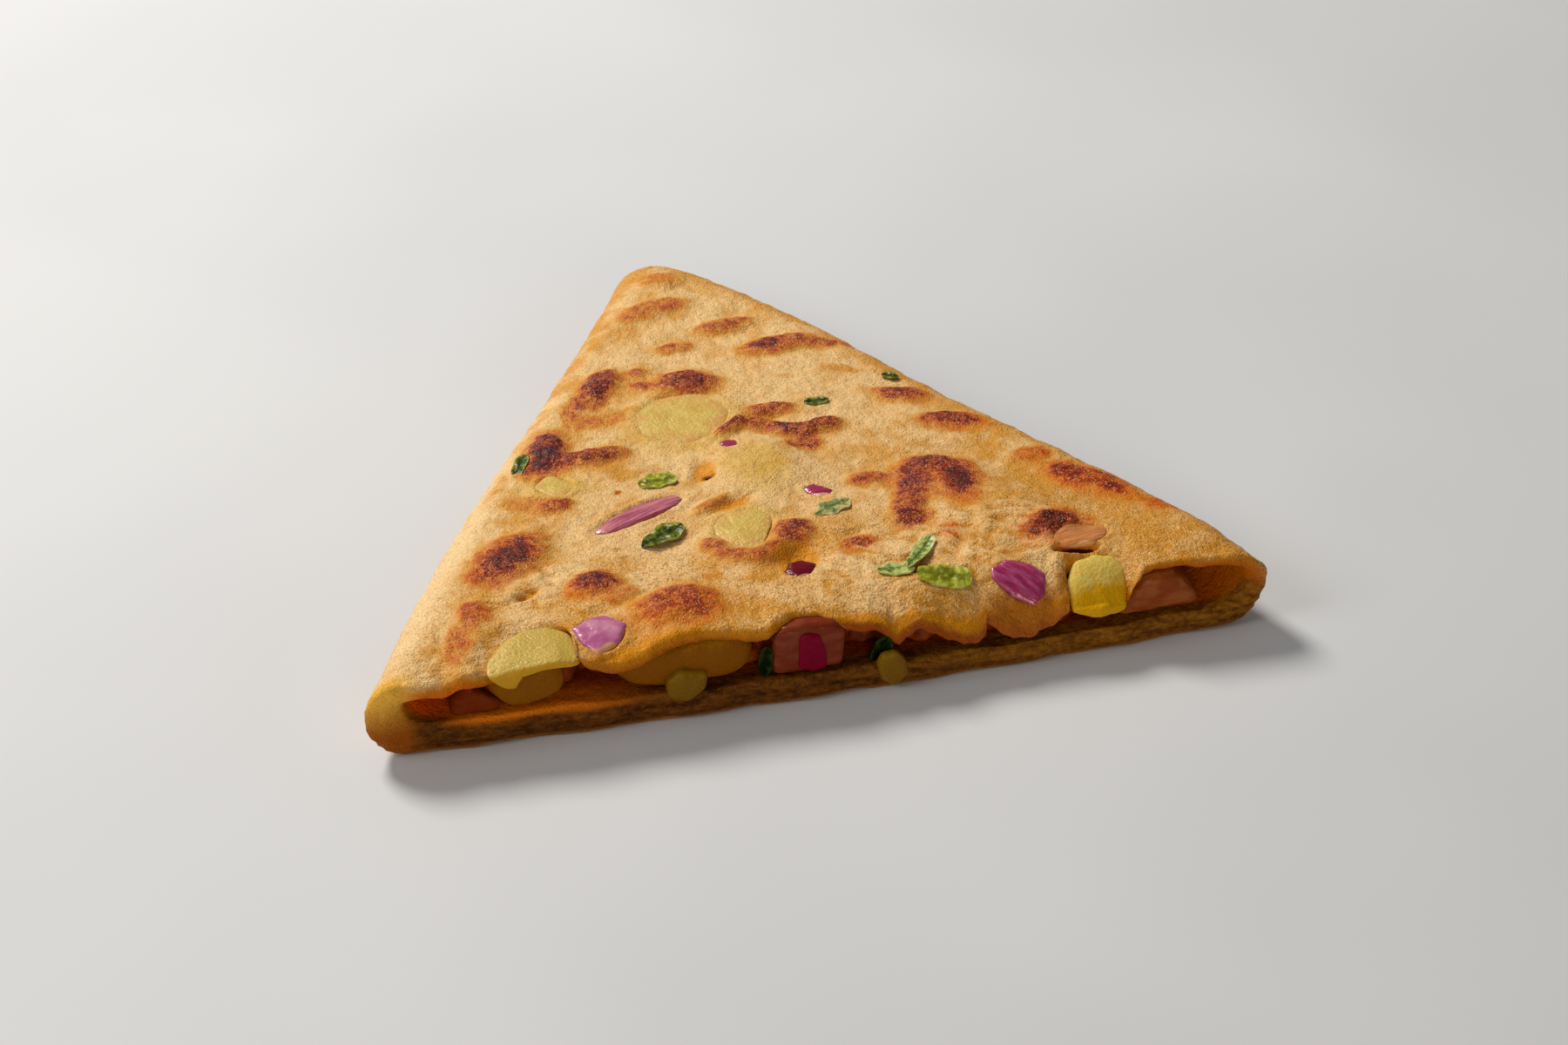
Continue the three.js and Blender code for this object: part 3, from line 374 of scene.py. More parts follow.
# %% [markdown]
# ## The bread
#
# The real bread is one sheet of dough, folded to a pocket. It could be modelled as a flat sheet
# that is bent by a simulation, but then nothing would lie where the frame has it. A sphere has
# the same topology as this closed pocket: its rows can run from the tip over the outside to the
# open edge, round the torn rim, and back inside to the pocket's end. So the piece starts as a
# UV sphere, and every vertex is moved to its place on the section across the bread.

# %% How finely the sheet is divided
TOP_STEPS = 208
FOLD_STEPS = 26
BASE_STEPS = 40
RING_STEPS = TOP_STEPS + BASE_STEPS + 2 * FOLD_STEPS
NOSE_ROWS = 16
FIELD_ROWS = 186
LIP_ROWS = 44
RIM_ROWS = 16
INNER_ROWS = 38
SHEET_ROWS = NOSE_ROWS + FIELD_ROWS + LIP_ROWS + RIM_ROWS + INNER_ROWS


def ring():
    """Each column's place on the section: across the flats, out over a fold, and up or down."""
    rising = np.pi * (np.arange(FOLD_STEPS) / FOLD_STEPS - 0.5)
    falling = np.pi * (0.5 - np.arange(1, FOLD_STEPS) / FOLD_STEPS)
    top = np.linspace(0, 1, TOP_STEPS + 1)
    base = 1 - np.arange(BASE_STEPS) / BASE_STEPS
    across = np.concatenate([0 * rising, top, 0 * falling + 1, base])
    out = np.concatenate([-np.cos(rising), 0 * top, np.cos(falling), 0 * base])
    up = np.concatenate([np.sin(rising), 0 * top + 1, np.sin(falling), 0 * base - 1])
    return across, out, up


def base_thickness(x):
    left = lerp(BASE_MIDDLE, BASE_LEFT, smoothstep(-x, 15, 45))
    return lerp(left, BASE_RIGHT, smoothstep(x, 5, 30))


def section(across, out, up, y, inside):
    """A point of the section at y. inside is 0 on the outer face and 1 on the inner face."""
    left, right = outline(y)
    left = left + inside * FOLD_WALL_LEFT
    right = right - inside * FOLD_WALL_RIGHT
    reach = np.minimum(FOLD_REACH - inside, (right - left) / 2)
    x = lerp(left + reach, right - reach, across) + reach * out
    crown = crown_height(y)
    upper = crown - inside * lerp(TOP_SHEET, lip_thickness(x), edge_share(x, y))
    lower = inside * base_thickness(x)
    centre = lerp(crown / 2, (upper + lower) / 2, inside)
    back = np.clip((y - (TIP_Y - NOSE_REACH)) / NOSE_REACH, 0, 1)
    half = np.sqrt(1 - back * back)
    z = centre + half * up * np.where(up > 0, upper - centre, centre - lower)
    z = z - smoothstep(up, 0.2, 1) * sag(x, y)
    return np.stack([x, y, z], -1), half


def row_places(across, out, up):
    """For each row and column: its y, and how far inside it is.

    On the field the rows lie a little closer together towards the torn edge.
    """
    x = section(across, out, up, np.full_like(across, OPEN_Y), 0)[0][..., 0]
    topness = smoothstep(up, -0.3, 0.9)
    edge = lerp(base_y(x), lip_y(x) + notch(x), topness)
    rim_radius = lerp(BASE_RIM, lip_thickness(x) / 2, topness) + 0.5 * np.abs(out)
    rim_start = edge + rim_radius
    lip_start = lerp(base_y(x), lip_y(x), topness) + LIP_REACH
    y = np.zeros((SHEET_ROWS + 1, RING_STEPS))
    inside = np.zeros_like(y)
    for row in range(SHEET_ROWS + 1):
        if row <= NOSE_ROWS:
            a = (math.pi / 2) * row / NOSE_ROWS
            y[row] = TIP_Y - NOSE_REACH * (1 - math.cos(a))
        elif row <= NOSE_ROWS + FIELD_ROWS:
            t = (row - NOSE_ROWS) / FIELD_ROWS
            y[row] = lerp(TIP_Y - NOSE_REACH, lip_start, t * (1.22 - 0.22 * t))
        elif row <= SHEET_ROWS - RIM_ROWS - INNER_ROWS:
            t = (row - NOSE_ROWS - FIELD_ROWS) / LIP_ROWS
            y[row] = lerp(lip_start, rim_start, t)
        elif row <= SHEET_ROWS - INNER_ROWS:
            a = math.pi * (row - SHEET_ROWS + RIM_ROWS + INNER_ROWS) / RIM_ROWS
            y[row] = rim_start - rim_radius * math.sin(a)
            inside[row] = (1 - math.cos(a)) / 2
        else:
            t = (row - SHEET_ROWS + INNER_ROWS) / INNER_ROWS
            y[row] = lerp(rim_start, POCKET_TIP_Y, t**1.6)
            inside[row] = 1
    return y, inside


across, out, up = ring()
row_y, row_inside = row_places(across, out, up)
sheet, nose_half = section(across, out, up, row_y, row_inside)
print("the sheet has", SHEET_ROWS, "rows of", RING_STEPS, "points")

# %% [markdown]
# The pocket closes to a point before the tip. After that comes the relief. It is added along
# the surface normal, which here is the cross product of the two directions of the grid. Fine
# noise stands for the skin of the dough, ridged noise for flakes where layers peel, and coarser
# noise for the torn rim.

# %% Close the pocket and find the normals
closing = row_inside * smoothstep(row_y, POCKET_TIP_Y - 7, POCKET_TIP_Y)
pocket_middle = (BASE_MIDDLE + crown_height(row_y) - TOP_SHEET) / 2
sheet[..., 0] = lerp(sheet[..., 0], TIP_SHIFT, closing)
sheet[..., 2] = lerp(sheet[..., 2], pocket_middle, closing)


def grid_normals(points):
    """Unit normals of a grid that closes on itself from its last column to its first."""
    round_ring = np.roll(points, -1, 1) - np.roll(points, 1, 1)
    down_rows = np.gradient(points, axis=0)
    normal = np.cross(round_ring, down_rows)
    length = np.linalg.norm(normal, axis=-1, keepdims=True)
    return normal / np.maximum(length, 1e-9)


normals = grid_normals(sheet)
middle_of_top = (SHEET_ROWS // 3, FOLD_STEPS + TOP_STEPS // 2)
normals *= math.copysign(1, normals[middle_of_top][2])
print("normal in the middle of the top face:", normals[middle_of_top].round(2))

# %% Relief of the dough
x, y, z = sheet[..., 0], sheet[..., 1], sheet[..., 2]
left, right = outline(y)
on_top = smoothstep(up, 0.2, 1) * np.ones_like(x)
outside = 1 - row_inside
to_side = np.minimum(x - left, right - x)
field = on_top * outside * smoothstep(to_side, 1, FOLD_REACH + 2) * nose_half

ragged = lumpy(sheet, 2.4, 3)
wander_x = 1.0 * lumpy(sheet + 71.0, 4.5, 2)
wander_y = 0.7 * lumpy(sheet + 43.0, 4.5, 2)
brown = brownness(x + wander_x, y + wander_y, ragged)
brown *= smoothstep(on_top, 0.05, 0.6) * outside
FLAKY_PLACES = [
    # share, x, y, length, width, turn
    (1, 23, -46.5, 56, 19, 4), (0.8, -45, -41.5, 22, 10, 28), (0.35, 36, -34, 22, 10, -24),
]
flaky = np.full_like(x, 0.16)
for share, *place in FLAKY_PLACES:
    flaky = np.maximum(flaky, share * blot(x, y, *place))
swirl = 3.0 * np.stack([lumpy(sheet, 7.0), lumpy(sheet + 31.0, 7.0), 0 * x], -1)
ridges = 1 - 2 * np.abs(lumpy((sheet + swirl) * np.array([0.5, 1.3, 1.0]), 2.6, 3))
crumple = lumpy(sheet + 57.0, 1.5, 3)
flakes = flaky * on_top * outside * (0.75 * ridges + 0.5 * crumple)
flakes *= np.clip(1 - 1.6 * brown, 0, 1)
print("ridges from", ridges.min().round(2), "to", ridges.max().round(2))

# %% More relief: skin, fold lines and the torn rim
SKIN_RELIEF = 0.27
FINE_SKIN_RELIEF = 0.11
FLAKE_RELIEF = 0.5
FOLD_LINE_RELIEF = 0.05
BLISTER_RELIEF = 0.2
LIP_RELIEF = 0.14
LAYER_RELIEF = 0.3

skin = lumpy(sheet, 5.5, 3)
fine_skin = lumpy(sheet + 11.0, 1.3, 3)
to_left = x - left
fold_lines = np.sin(4.2 * to_left + 2.4 * lumpy(sheet, 6.0)) * smoothstep(12 - to_left, 0, 5)
fold_lines *= smoothstep(-y, -20, 10) * outside
relief = field * (rise(x, y) + bank(x, y) - sink(x, y))
pressed_flat = 1 - 0.5 * (up < -0.9)
relief += outside * (SKIN_RELIEF * skin + FINE_SKIN_RELIEF * fine_skin) * pressed_flat
relief += FLAKE_RELIEF * flakes * smoothstep(to_side, 2, 9) + FOLD_LINE_RELIEF * fold_lines
relief += BLISTER_RELIEF * brown * lumpy(sheet + 83.0, 0.9, 2) * outside
in_rim = smoothstep(OPEN_Y + 4.5 - y, 0, 3)
below_lip = smoothstep(0.3 - up, 0, 0.6)
layers = lumpy(sheet * np.array([0.3, 1.0, 1.7]) + 7.0, 1.7, 3)
relief += in_rim * lerp(LIP_RELIEF * fine_skin, LAYER_RELIEF * (layers - 0.5), below_lip)
sheet = sheet + normals * (relief * (1 - closing))[..., None]
sheet[..., 2] = np.maximum(sheet[..., 2], 0)
print("relief from", relief.min().round(2), "to", relief.max().round(2), "mm")

# %% [markdown]
# What the finish needs to know is stored on the mesh as attributes, one number for each vertex:
# how brown, how golden, how yellow from potato below, how near the stretched edge, how far
# inside, and so on. A shader reads them by name, so the colours follow the dough itself.

# %% Fields that the finish reads
rim_row = SHEET_ROWS - INNER_ROWS - RIM_ROWS // 2
steps = np.linalg.norm(np.diff(sheet[: rim_row + 1], axis=0), axis=-1)
from_rim = np.zeros_like(x)
from_rim[:rim_row] = np.cumsum(steps[::-1], axis=0)[::-1]
amber_width = between(x, 3) + 0.9 * ragged
amber = on_top * smoothstep(amber_width - from_rim, -1.0, 1.4)

golden_with_painted_fold_light = 0.3 + 0.6 * smoothstep(x, 14, 56)
golden_with_painted_fold_light += 0.4 * smoothstep(-y, 28, 54) * smoothstep(x, -68, -40)
golden_with_painted_fold_light += 0.9 * smoothstep(9 - to_side, 0, 8) * smoothstep(x, -50, 0) + 0.3 * lumpy(sheet, 9, 2)
# Painted light: the left fold, which faces the lamps, is made less golden.
golden_with_painted_fold_light -= 0.9 * smoothstep(8 - to_left, 0, 4) * smoothstep(-y, -10, 20)
GOLDEN_PLACES = [
    # how much more golden, x, y, length, width, turn, steepness
    (0.15, -38, -28, 34, 60, -20, 4), (-0.35, 8, 10, 56, 50, 0, 2), (0.5, 56, -44, 30, 18, -40, 4),
    (-0.3, -24, -34, 40, 34, 10, 4), (-0.8, 38.6, -54, 5.5, 12, 0, 4),
]
for more, *place in GOLDEN_PLACES:
    golden_with_painted_fold_light += more * blot(x, y, *place)

YELLOW_PLACES = [
    # share, x, y, length, width
    (0.7, -0.9, -14.6, 12, 17), (0.8, -9.4, 3.4, 22, 20), (0.8, -7.4, -32.6, 13, 15),
    (0.8, -35.2, -12, 12, 10),
]
yellow = np.zeros_like(x)
for share, *place in YELLOW_PLACES:
    yellow = np.maximum(yellow, share * blot(x, y, *place))

underneath = smoothstep(-up, 0.0, 0.9) * np.ones_like(x)
bulge = blot(x, z, 32.4, 7.6, 16, 12, power=6) * smoothstep(OPEN_Y + 6 - y, 0, 3)
bulge = np.maximum(bulge, 0.6 * blot(x, z, -38, 12.0, 6, 5) * in_rim)
torn = in_rim * below_lip * smoothstep(row_inside, 0, 0.2)
left_end = in_rim * smoothstep(-x, 65, 70)
lower_lip = smoothstep(2.8 - from_rim, 0, 2.2)
# Painted contact shade: the torn layers get darker within a few millimetres of the table.
contact_shade = smoothstep(3.2 - z, 0, 2.6) * outside
# Painted light: the pocket floor just behind the open edge is painted a brighter orange.
above_base = z - base_thickness(x)
floor = row_inside * smoothstep(above_base, -1.6, -0.3) * smoothstep(2.0 - above_base, 0, 1)
floor *= smoothstep(OPEN_Y + 7 - y, 0, 4) * smoothstep(-x, 24, 46) * (1 - smoothstep(-x, 58, 64))
# Painted light: the left fold, which faces the lamps, is painted paler.
lit_left_fold = smoothstep(9 - to_left, 0, 5) * smoothstep(-y, -14, 20) * on_top
lit_left_fold *= 1 - 0.8 * smoothstep(-y, 50, 58)

bread_fields = {
    "brown": brown,
    "golden_with_painted_fold_light": np.clip(golden_with_painted_fold_light, 0, 1),
    "yellow": yellow * field,
    "amber": np.maximum(amber, on_top * row_inside),
    "left_end": left_end,
    "high": smoothstep(z, 4, 12.5),
    "shaded_lip": smoothstep(x, -6, 4) * smoothstep(-x, -40, -34) * lower_lip,
    # Painted glow: both ends of the pocket are painted a brighter orange, as light coming through
    # the thin dough.
    "left_room_glow": row_inside * smoothstep(-x, 55, 61),
    "right_room_glow": row_inside * smoothstep(x, 50, 58),
    "rightward": smoothstep(x, -8, 44),
    # where the ground has more grain, and more pale dots that are partly grain and partly painted
    # glints
    "grain_and_glints": smoothstep(-y, 22, 46) * (1 - 0.6 * smoothstep(-x, 30, 55)),
    "inside": row_inside,
    "floor": floor,
    "lit_left_fold": lit_left_fold,
    "underneath": underneath * outside,
    "torn": torn * (1 - smoothstep(-x, 67, 71)),
    # the torn layers, with painted contact shade near the table
    "layers": np.clip(0.5 + layers - 0.6 * contact_shade, 0, 1),
    "pink": bulge * on_top,
    "flakes": np.clip(flakes, -1, 1),
    "hollow": np.clip(pits(x, y) * field, 0, 2),
}
print("fields:", {name: (round(float(f.min()), 2), round(float(f.max()), 2))
                  for name, f in bread_fields.items()})


# %% Make the bread
def store(bm, name):
    """Turns a bmesh in millimetres into a centred object in metres, with outward faces."""
    bmesh.ops.recalc_face_normals(bm, faces=bm.faces)
    bmesh.ops.translate(bm, vec=(0, -CENTRE_Y, 0), verts=bm.verts)
    bmesh.ops.scale(bm, vec=(MM, MM, MM), verts=bm.verts)
    mesh = bpy.data.meshes.new(name)
    bm.to_mesh(mesh)
    bm.free()
    mesh.polygons.foreach_set("use_smooth", [True] * len(mesh.polygons))
    piece = bpy.data.objects.new(name, mesh)
    bpy.context.scene.collection.objects.link(piece)
    return piece


def vertices_of(bm):
    return np.array([vertex.co for vertex in bm.verts])


def move_vertices(bm, places):
    for vertex, place in zip(bm.verts, places):
        vertex.co = place


def set_field(piece, name, values):
    """Stores one number for each vertex of a piece, under a name that its shader reads."""
    attribute = piece.data.attributes.new(name, "FLOAT", "POINT")
    attribute.data.foreach_set("value", np.ravel(values).astype(np.float32))


def make_bread():
    bm = bmesh.new()
    bmesh.ops.create_uvsphere(bm, u_segments=RING_STEPS, v_segments=SHEET_ROWS, radius=1)
    ball = vertices_of(bm)
    turn = np.arctan2(ball[:, 1], ball[:, 0]) / (2 * np.pi)
    column = np.round(turn * RING_STEPS).astype(int) % RING_STEPS
    tilt = np.arctan2(np.hypot(ball[:, 0], ball[:, 1]), ball[:, 2]) / np.pi
    row = np.round(tilt * SHEET_ROWS).astype(int)
    move_vertices(bm, sheet[row, column])
    piece = store(bm, "paratha_bread")
    for name, values in bread_fields.items():
        set_field(piece, name, values[row, column])
    return piece


bread = make_bread()
print("bread:", len(bread.data.vertices), "vertices")

# %% [markdown]
# ## The dice of potato and onion
#
# Diced food has flat cuts, soft moist corners, and an outline that no simple solid has. Each
# dice starts as an icosphere, whose triangles are even all over. Its outline is a short list of
# corners, seen from the side on which it shows, and a radius is worked out from it for each
# direction. One number, crisp, says how square its edges are: 2 is a lens and 6 is nearly a slab.


# %% From corners to a soft outline
def outline_reach(corners, softness):
    """The middle of an outline, and how far it reaches in each of 360 directions."""
    corners = np.array(corners, float)
    middle = (corners.min(0) + corners.max(0)) / 2
    start = corners - middle
    side = np.roll(start, -1, 0) - start
    angle = np.radians(np.arange(360))
    ray_x, ray_y = np.cos(angle)[:, None], np.sin(angle)[:, None]
    crossing = ray_x * side[:, 1] - ray_y * side[:, 0]
    reach = (start[:, 0] * side[:, 1] - start[:, 1] * side[:, 0]) / crossing
    place = (start[:, 0] * ray_y - start[:, 1] * ray_x) / crossing
    met = (reach > 0) & (place > -1e-6) & (place < 1 + 1e-6)
    reach = np.where(met, reach, np.inf).min(1)
    shifts = np.arange(-3 * softness, 3 * softness + 1)
    weights = np.exp(-((shifts / softness) ** 2) / 2)
    soft = sum(w * np.roll(reach, k) for w, k in zip(weights, shifts)) / weights.sum()
    return middle, soft


middle, reach = outline_reach([(-1, -1), (1, -1), (1, 1), (-1, 1)], 6)
print("a square reaches", reach[0].round(2), "to its side and", reach[45].round(2), "to its corner")


# %% A dice of food
def make_dice(name, corners, near, far, lying=False, crisp=4.0, softness=6, uneven=0.1,
              pitted=0.06, fineness=6, tilt=0.0):
    """A dice that stands in the open edge, or that lies in the top face.

    A standing dice has its corners in x and z, and near and far are its front and back in y. A
    lying one has its corners in x and y. It follows the top face, near millimetres above it,
    and tilt raises its front. far is its thickness, or a list of x and height of its underside.
    """
    bm = bmesh.new()
    bmesh.ops.create_icosphere(bm, subdivisions=fineness, radius=1)
    directions = vertices_of(bm)
    flat = np.hypot(directions[:, 0], directions[:, 1])
    share = (flat**crisp + np.abs(directions[:, 2]) ** crisp) ** (-1 / crisp)
    rim, level = flat * share, directions[:, 2] * share
    turn = np.degrees(np.arctan2(directions[:, 1], directions[:, 0])) % 360
    middle, reach = outline_reach(corners, softness)
    radius = np.interp(turn, np.arange(361), np.append(reach, reach[0])) * rim
    across = middle[0] + radius * np.cos(np.radians(turn))
    other = middle[1] + radius * np.sin(np.radians(turn))
    if lying:
        top = top_height(across, other) + near + tilt * (middle[1] - other)
        bottom = np.interp(across, *zip(*far)) if isinstance(far, list) else top - near - far
        place = np.stack([across, other, (top + bottom) / 2 + level * (top - bottom) / 2], 1)
        out = np.stack([directions[:, 0], directions[:, 1], level], 1)
    else:
        place = np.stack([across, (near + far) / 2 + level * (near - far) / 2, other], 1)
        out = np.stack([directions[:, 0], -level, directions[:, 1]], 1)
    bumps = uneven * lumpy(place, 3.0, 2) + pitted * lumpy(place + 9.0, 1.0, 2)
    place = place + out * bumps[:, None]
    move_vertices(bm, place)
    bm.normal_update()
    upward = [vertex.normal.z for vertex in bm.verts]
    piece = store(bm, name)
    set_field(piece, "rim", rim)
    set_field(piece, "upward", upward)
    set_field(piece, "frontward", -np.sin(np.radians(turn)) * rim)
    return piece


print("dice are ready to be made")

# %% [markdown]
# At the left of the open edge a large dice of potato has pushed through the top sheet, and a
# corner of it hangs down like a tooth. A similar dice stands at the right. Between them are a
# long one with a round end, and small ones. The highest faces are level with the dough.

# %% Potato in the open edge
potatoes = [
    make_dice("potato_front_left_piece",
              [(-55.4, -60.9), (-54.9, -57.4), (-51.8, -53.2), (-47.6, -51.2), (-43.6, -51.2),
               (-40.8, -54.0), (-40.4, -60.5)], 0.0,
              [(-55.2, 12.9), (-53.6, 11.2), (-52.2, 10.0), (-51.0, 9.9), (-49.8, 12.1),
               (-46.4, 12.9), (-41.0, 12.7)],
              lying=True, crisp=4.5, softness=4, uneven=0.06, pitted=0.04),
    make_dice("potato_under_left_piece",
              [(-55.8, 11.6), (-54.2, 8.2), (-52.2, 6.2), (-49.6, 5.8), (-45.4, 6.7),
               (-43.0, 8.0), (-42.8, 11.6), (-45.0, 13.2)], -60.3, -53.0, crisp=4),
    make_dice("potato_mid_piece",
              [(-36.2, 10.0), (-32.6, 6.2), (-27.0, 5.0), (-20.0, 5.4), (-15.2, 5.0),
               (-12.4, 7.0), (-12.0, 10.6), (-14.2, 12.8), (-21.5, 13.4), (-30.5, 11.8)],
              -60.2, -53.4, crisp=3.2, softness=5),
    make_dice("potato_small_piece",
              [(-27.2, 7.4), (-24.6, 9.2), (-20.2, 7.9), (-20.6, 5.2), (-23.6, 2.8), (-26.8, 4.2)],
              -62.1, -58.6, crisp=3.4, fineness=5),
    make_dice("potato_drip_piece",
              [(7.4, 5.2), (8.4, 6.9), (10.8, 7.0), (12.2, 5.2), (12.7, 2.2), (10.4, 0.3),
               (8.2, 1.8)], -62.9, -60.4, crisp=3, fineness=5),
    make_dice("potato_cube_right_piece",
              [(40.5, -61.4), (40.4, -57.2), (42.6, -53.4), (46.6, -52.4), (50.2, -53.4),
               (51.2, -56.0), (49.8, -61.0), (45.2, -62.0)], 0.0,
              [(40.0, 8.6), (44.0, 7.0), (48.0, 6.6), (50.0, 7.2)],
              lying=True, crisp=3.6, softness=3),
]
print(len(potatoes), "dice of potato")

# %% Onion in the open edge
red_onions = [
    make_dice("onion_front_left_piece",
              [(-40.6, -53.8), (-37.7, -51.8), (-34.8, -51.2), (-31.7, -54.3), (-33.5, -57.6),
               (-37.6, -59.9), (-39.6, -57.1)], 0.75, 2.4, lying=True, crisp=6, softness=2,
              uneven=0.2, pitted=0.02),
    make_dice("onion_front_right_piece",
              [(28.5, -54.2), (31.2, -52.7), (35.0, -54.1), (37.4, -56.0), (36.4, -58.7),
               (34.4, -59.8), (31.0, -58.1), (28.5, -55.8)], 0.75, 2.2, lying=True, crisp=6,
              softness=2, uneven=0.2, pitted=0.02),
    make_dice("onion_mid_skin_piece",
              [(-5.4, 6.2), (-5.3, 12.2), (-4.0, 12.9), (-2.0, 12.2), (-0.8, 8.6), (-0.8, 5.6),
               (-2.9, 5.1)], -61.5, -60.6, crisp=4, softness=4, pitted=0.01, fineness=5),
]
pale_onions = [
    make_dice("onion_mid_piece",
              [(-9.4, 4.9), (-9.3, 12.6), (-7.6, 13.8), (-4.0, 14.0), (0.6, 13.6), (2.7, 12.0),
               (2.2, 5.0)], -61.0, -55.4, crisp=6, softness=4, pitted=0.03),
    make_dice("onion_left_hollow_piece",
              [(-61.2, 5.4), (-61.0, 8.8), (-58.4, 11.3), (-52.4, 6.6), (-53.6, 5.2)],
              -59.4, -52.0, crisp=5, softness=4),
    make_dice("onion_right_hollow_piece",
              [(48.4, 4.6), (51.0, 9.8), (52.8, 12.5), (55.5, 13.1), (58.4, 12.6), (60.6, 10.4),
               (62.8, 7.4), (64.2, 5.0)], -60.0, -51.0, crisp=4, softness=4),
]
print(len(red_onions) + len(pale_onions), "dice of onion")

# %% [markdown]
# ## Pieces that show through the top face
#
# Frying presses the filling into the dough, so potato and onion show as patches that are almost
# level with it. They are the same dice, lying and thin. Their edge dips below the dough at a
# small angle, so that there is no step, and a bed in the dough keeps it from poking through.

# %% Potato and onion in the top face
top_potatoes = [
    make_dice("potato_top_large_piece",
              [(-17.6, 9.4), (-11.3, 12.0), (-3.0, 11.6), (0.4, 6.0), (-4.0, -1.4),
               (-11.4, -4.2), (-17.6, -1.0), (-18.8, 4.6)], 0.2, 1.2, lying=True, softness=9),
    make_dice("potato_top_left_piece",
              [(-39.3, -11.0), (-35.3, -7.7), (-31.0, -12.8), (-35.4, -16.0)], 0.24, 1.0,
              lying=True, softness=9),
    make_dice("potato_top_front_piece",
              [(-12.3, -30.5), (-11.0, -28.2), (-7.8, -27.6), (-3.3, -28.2), (-1.6, -29.9),
               (-3.1, -33.6), (-5.6, -38.6), (-7.8, -39.4), (-10.6, -36.8), (-12.8, -33.1)],
              0.2, 1.0, lying=True, softness=6),
]
top_onions = [
    make_dice("onion_sliver_piece",
              [(-31.9, -27.2), (-28.2, -23.8), (-23.7, -21.2), (-19.1, -19.8), (-15.9, -19.0),
               (-14.9, -20.8), (-17.6, -23.4), (-21.8, -25.1), (-26.1, -27.0), (-29.7, -27.9)],
              0.28, 1.2, lying=True, crisp=4, softness=2, pitted=0.02),
    make_dice("onion_bit_upper_piece",
              [(-5.6, -5.4), (-3.8, -4.4), (-2.1, -5.6), (-2.4, -8.4), (-4.2, -9.2), (-5.5, -7.8)],
              0.3, 1.2, lying=True, crisp=3, fineness=5),
    make_dice("onion_bit_middle_piece",
              [(4.9, -23.4), (6.5, -22.2), (8.1, -23.0), (10.0, -25.0), (9.1, -26.5),
               (7.1, -26.8), (5.5, -25.3)], 0.4, 1.2, lying=True, crisp=3, softness=4, fineness=5),
    make_dice("onion_bit_front_piece",
              [(-4.2, -46.4), (-2.8, -43.8), (-0.4, -43.2), (1.8, -45.0), (0.4, -48.0),
               (-2.6, -48.6)], 0.3, 2.4, lying=True, crisp=3, softness=3, pitted=0.01),
]
flap = make_dice("onion_flap_piece",
                 [(39.7, -49.7), (42.2, -46.9), (44.6, -45.2), (47.8, -44.2), (51.4, -47.3),
                  (49.2, -50.4), (47.4, -51.4), (41.4, -51.0)], 0.2, 1.6, lying=True, crisp=3,
                 tilt=0.12)
print(len(top_potatoes) + len(top_onions) + 1, "pieces in the top face")

# %% [markdown]
# ## Coriander
#
# A fried coriander leaflet is small, glossy and curled, and its pale edges turn up. It is made
# flat from a grid whose long axis is the midrib. The grid's sides are pulled in to the leaf's
# outline, its edges are turned up and over, the blade is bent, and solidify gives it a
# thickness, so that both faces match.


# %% A leaf
LEAF_THICKNESS = 0.3


def make_leaf(name, at, size, turn=0, lift=0.35, cup=0.7, curl=0.3, tip=0.6, stem=0.0, teeth=0.06,
              stand=False):
    bm = bmesh.new()
    bmesh.ops.create_grid(bm, x_segments=56, y_segments=32, size=1)
    grid = vertices_of(bm)
    u, v = grid[:, 0], grid[:, 1]
    blade = (1 - np.abs(u) ** 2.4) ** tip * (1 + stem * u)
    blade = 0.05 + 0.95 * blade * (1 + teeth * np.cos(7 * u + at[0]))
    rolled = smoothstep(np.abs(v), 0.55, 1)
    length = u * size[0] / 2 * (1 - 0.1 * (1 - np.abs(v)) * (u > 0.8))
    width = v * (1 - 0.14 * rolled) * size[1] / 2 * blade
    bend = cup * (np.abs(v) ** 2 - 0.45 * rolled) * blade + curl * u * u
    bend += 0.3 * lumpy(np.stack([length, width, 0 * u], 1) + at[0], 1.8, 2)
    bend -= 0.12 * np.exp(-((v / 0.12) ** 2))
    angle = math.radians(turn)
    place_x = at[0] + length * math.cos(angle) - width * math.sin(angle)
    other = at[-1 if stand else 1] + length * math.sin(angle) + width * math.cos(angle)
    if stand:
        place = np.stack([place_x, at[1] - bend, other], 1)
    else:
        place = np.stack([place_x, other, top_height(place_x, other) + lift + bend], 1)
    move_vertices(bm, place)
    bmesh.ops.solidify(bm, geom=bm.faces[:], thickness=LEAF_THICKNESS)
    piece = store(bm, name)
    set_field(piece, "rim", np.tile(np.abs(v), 2))
    set_field(piece, "lengthways", np.tile(u, 2))
    return piece


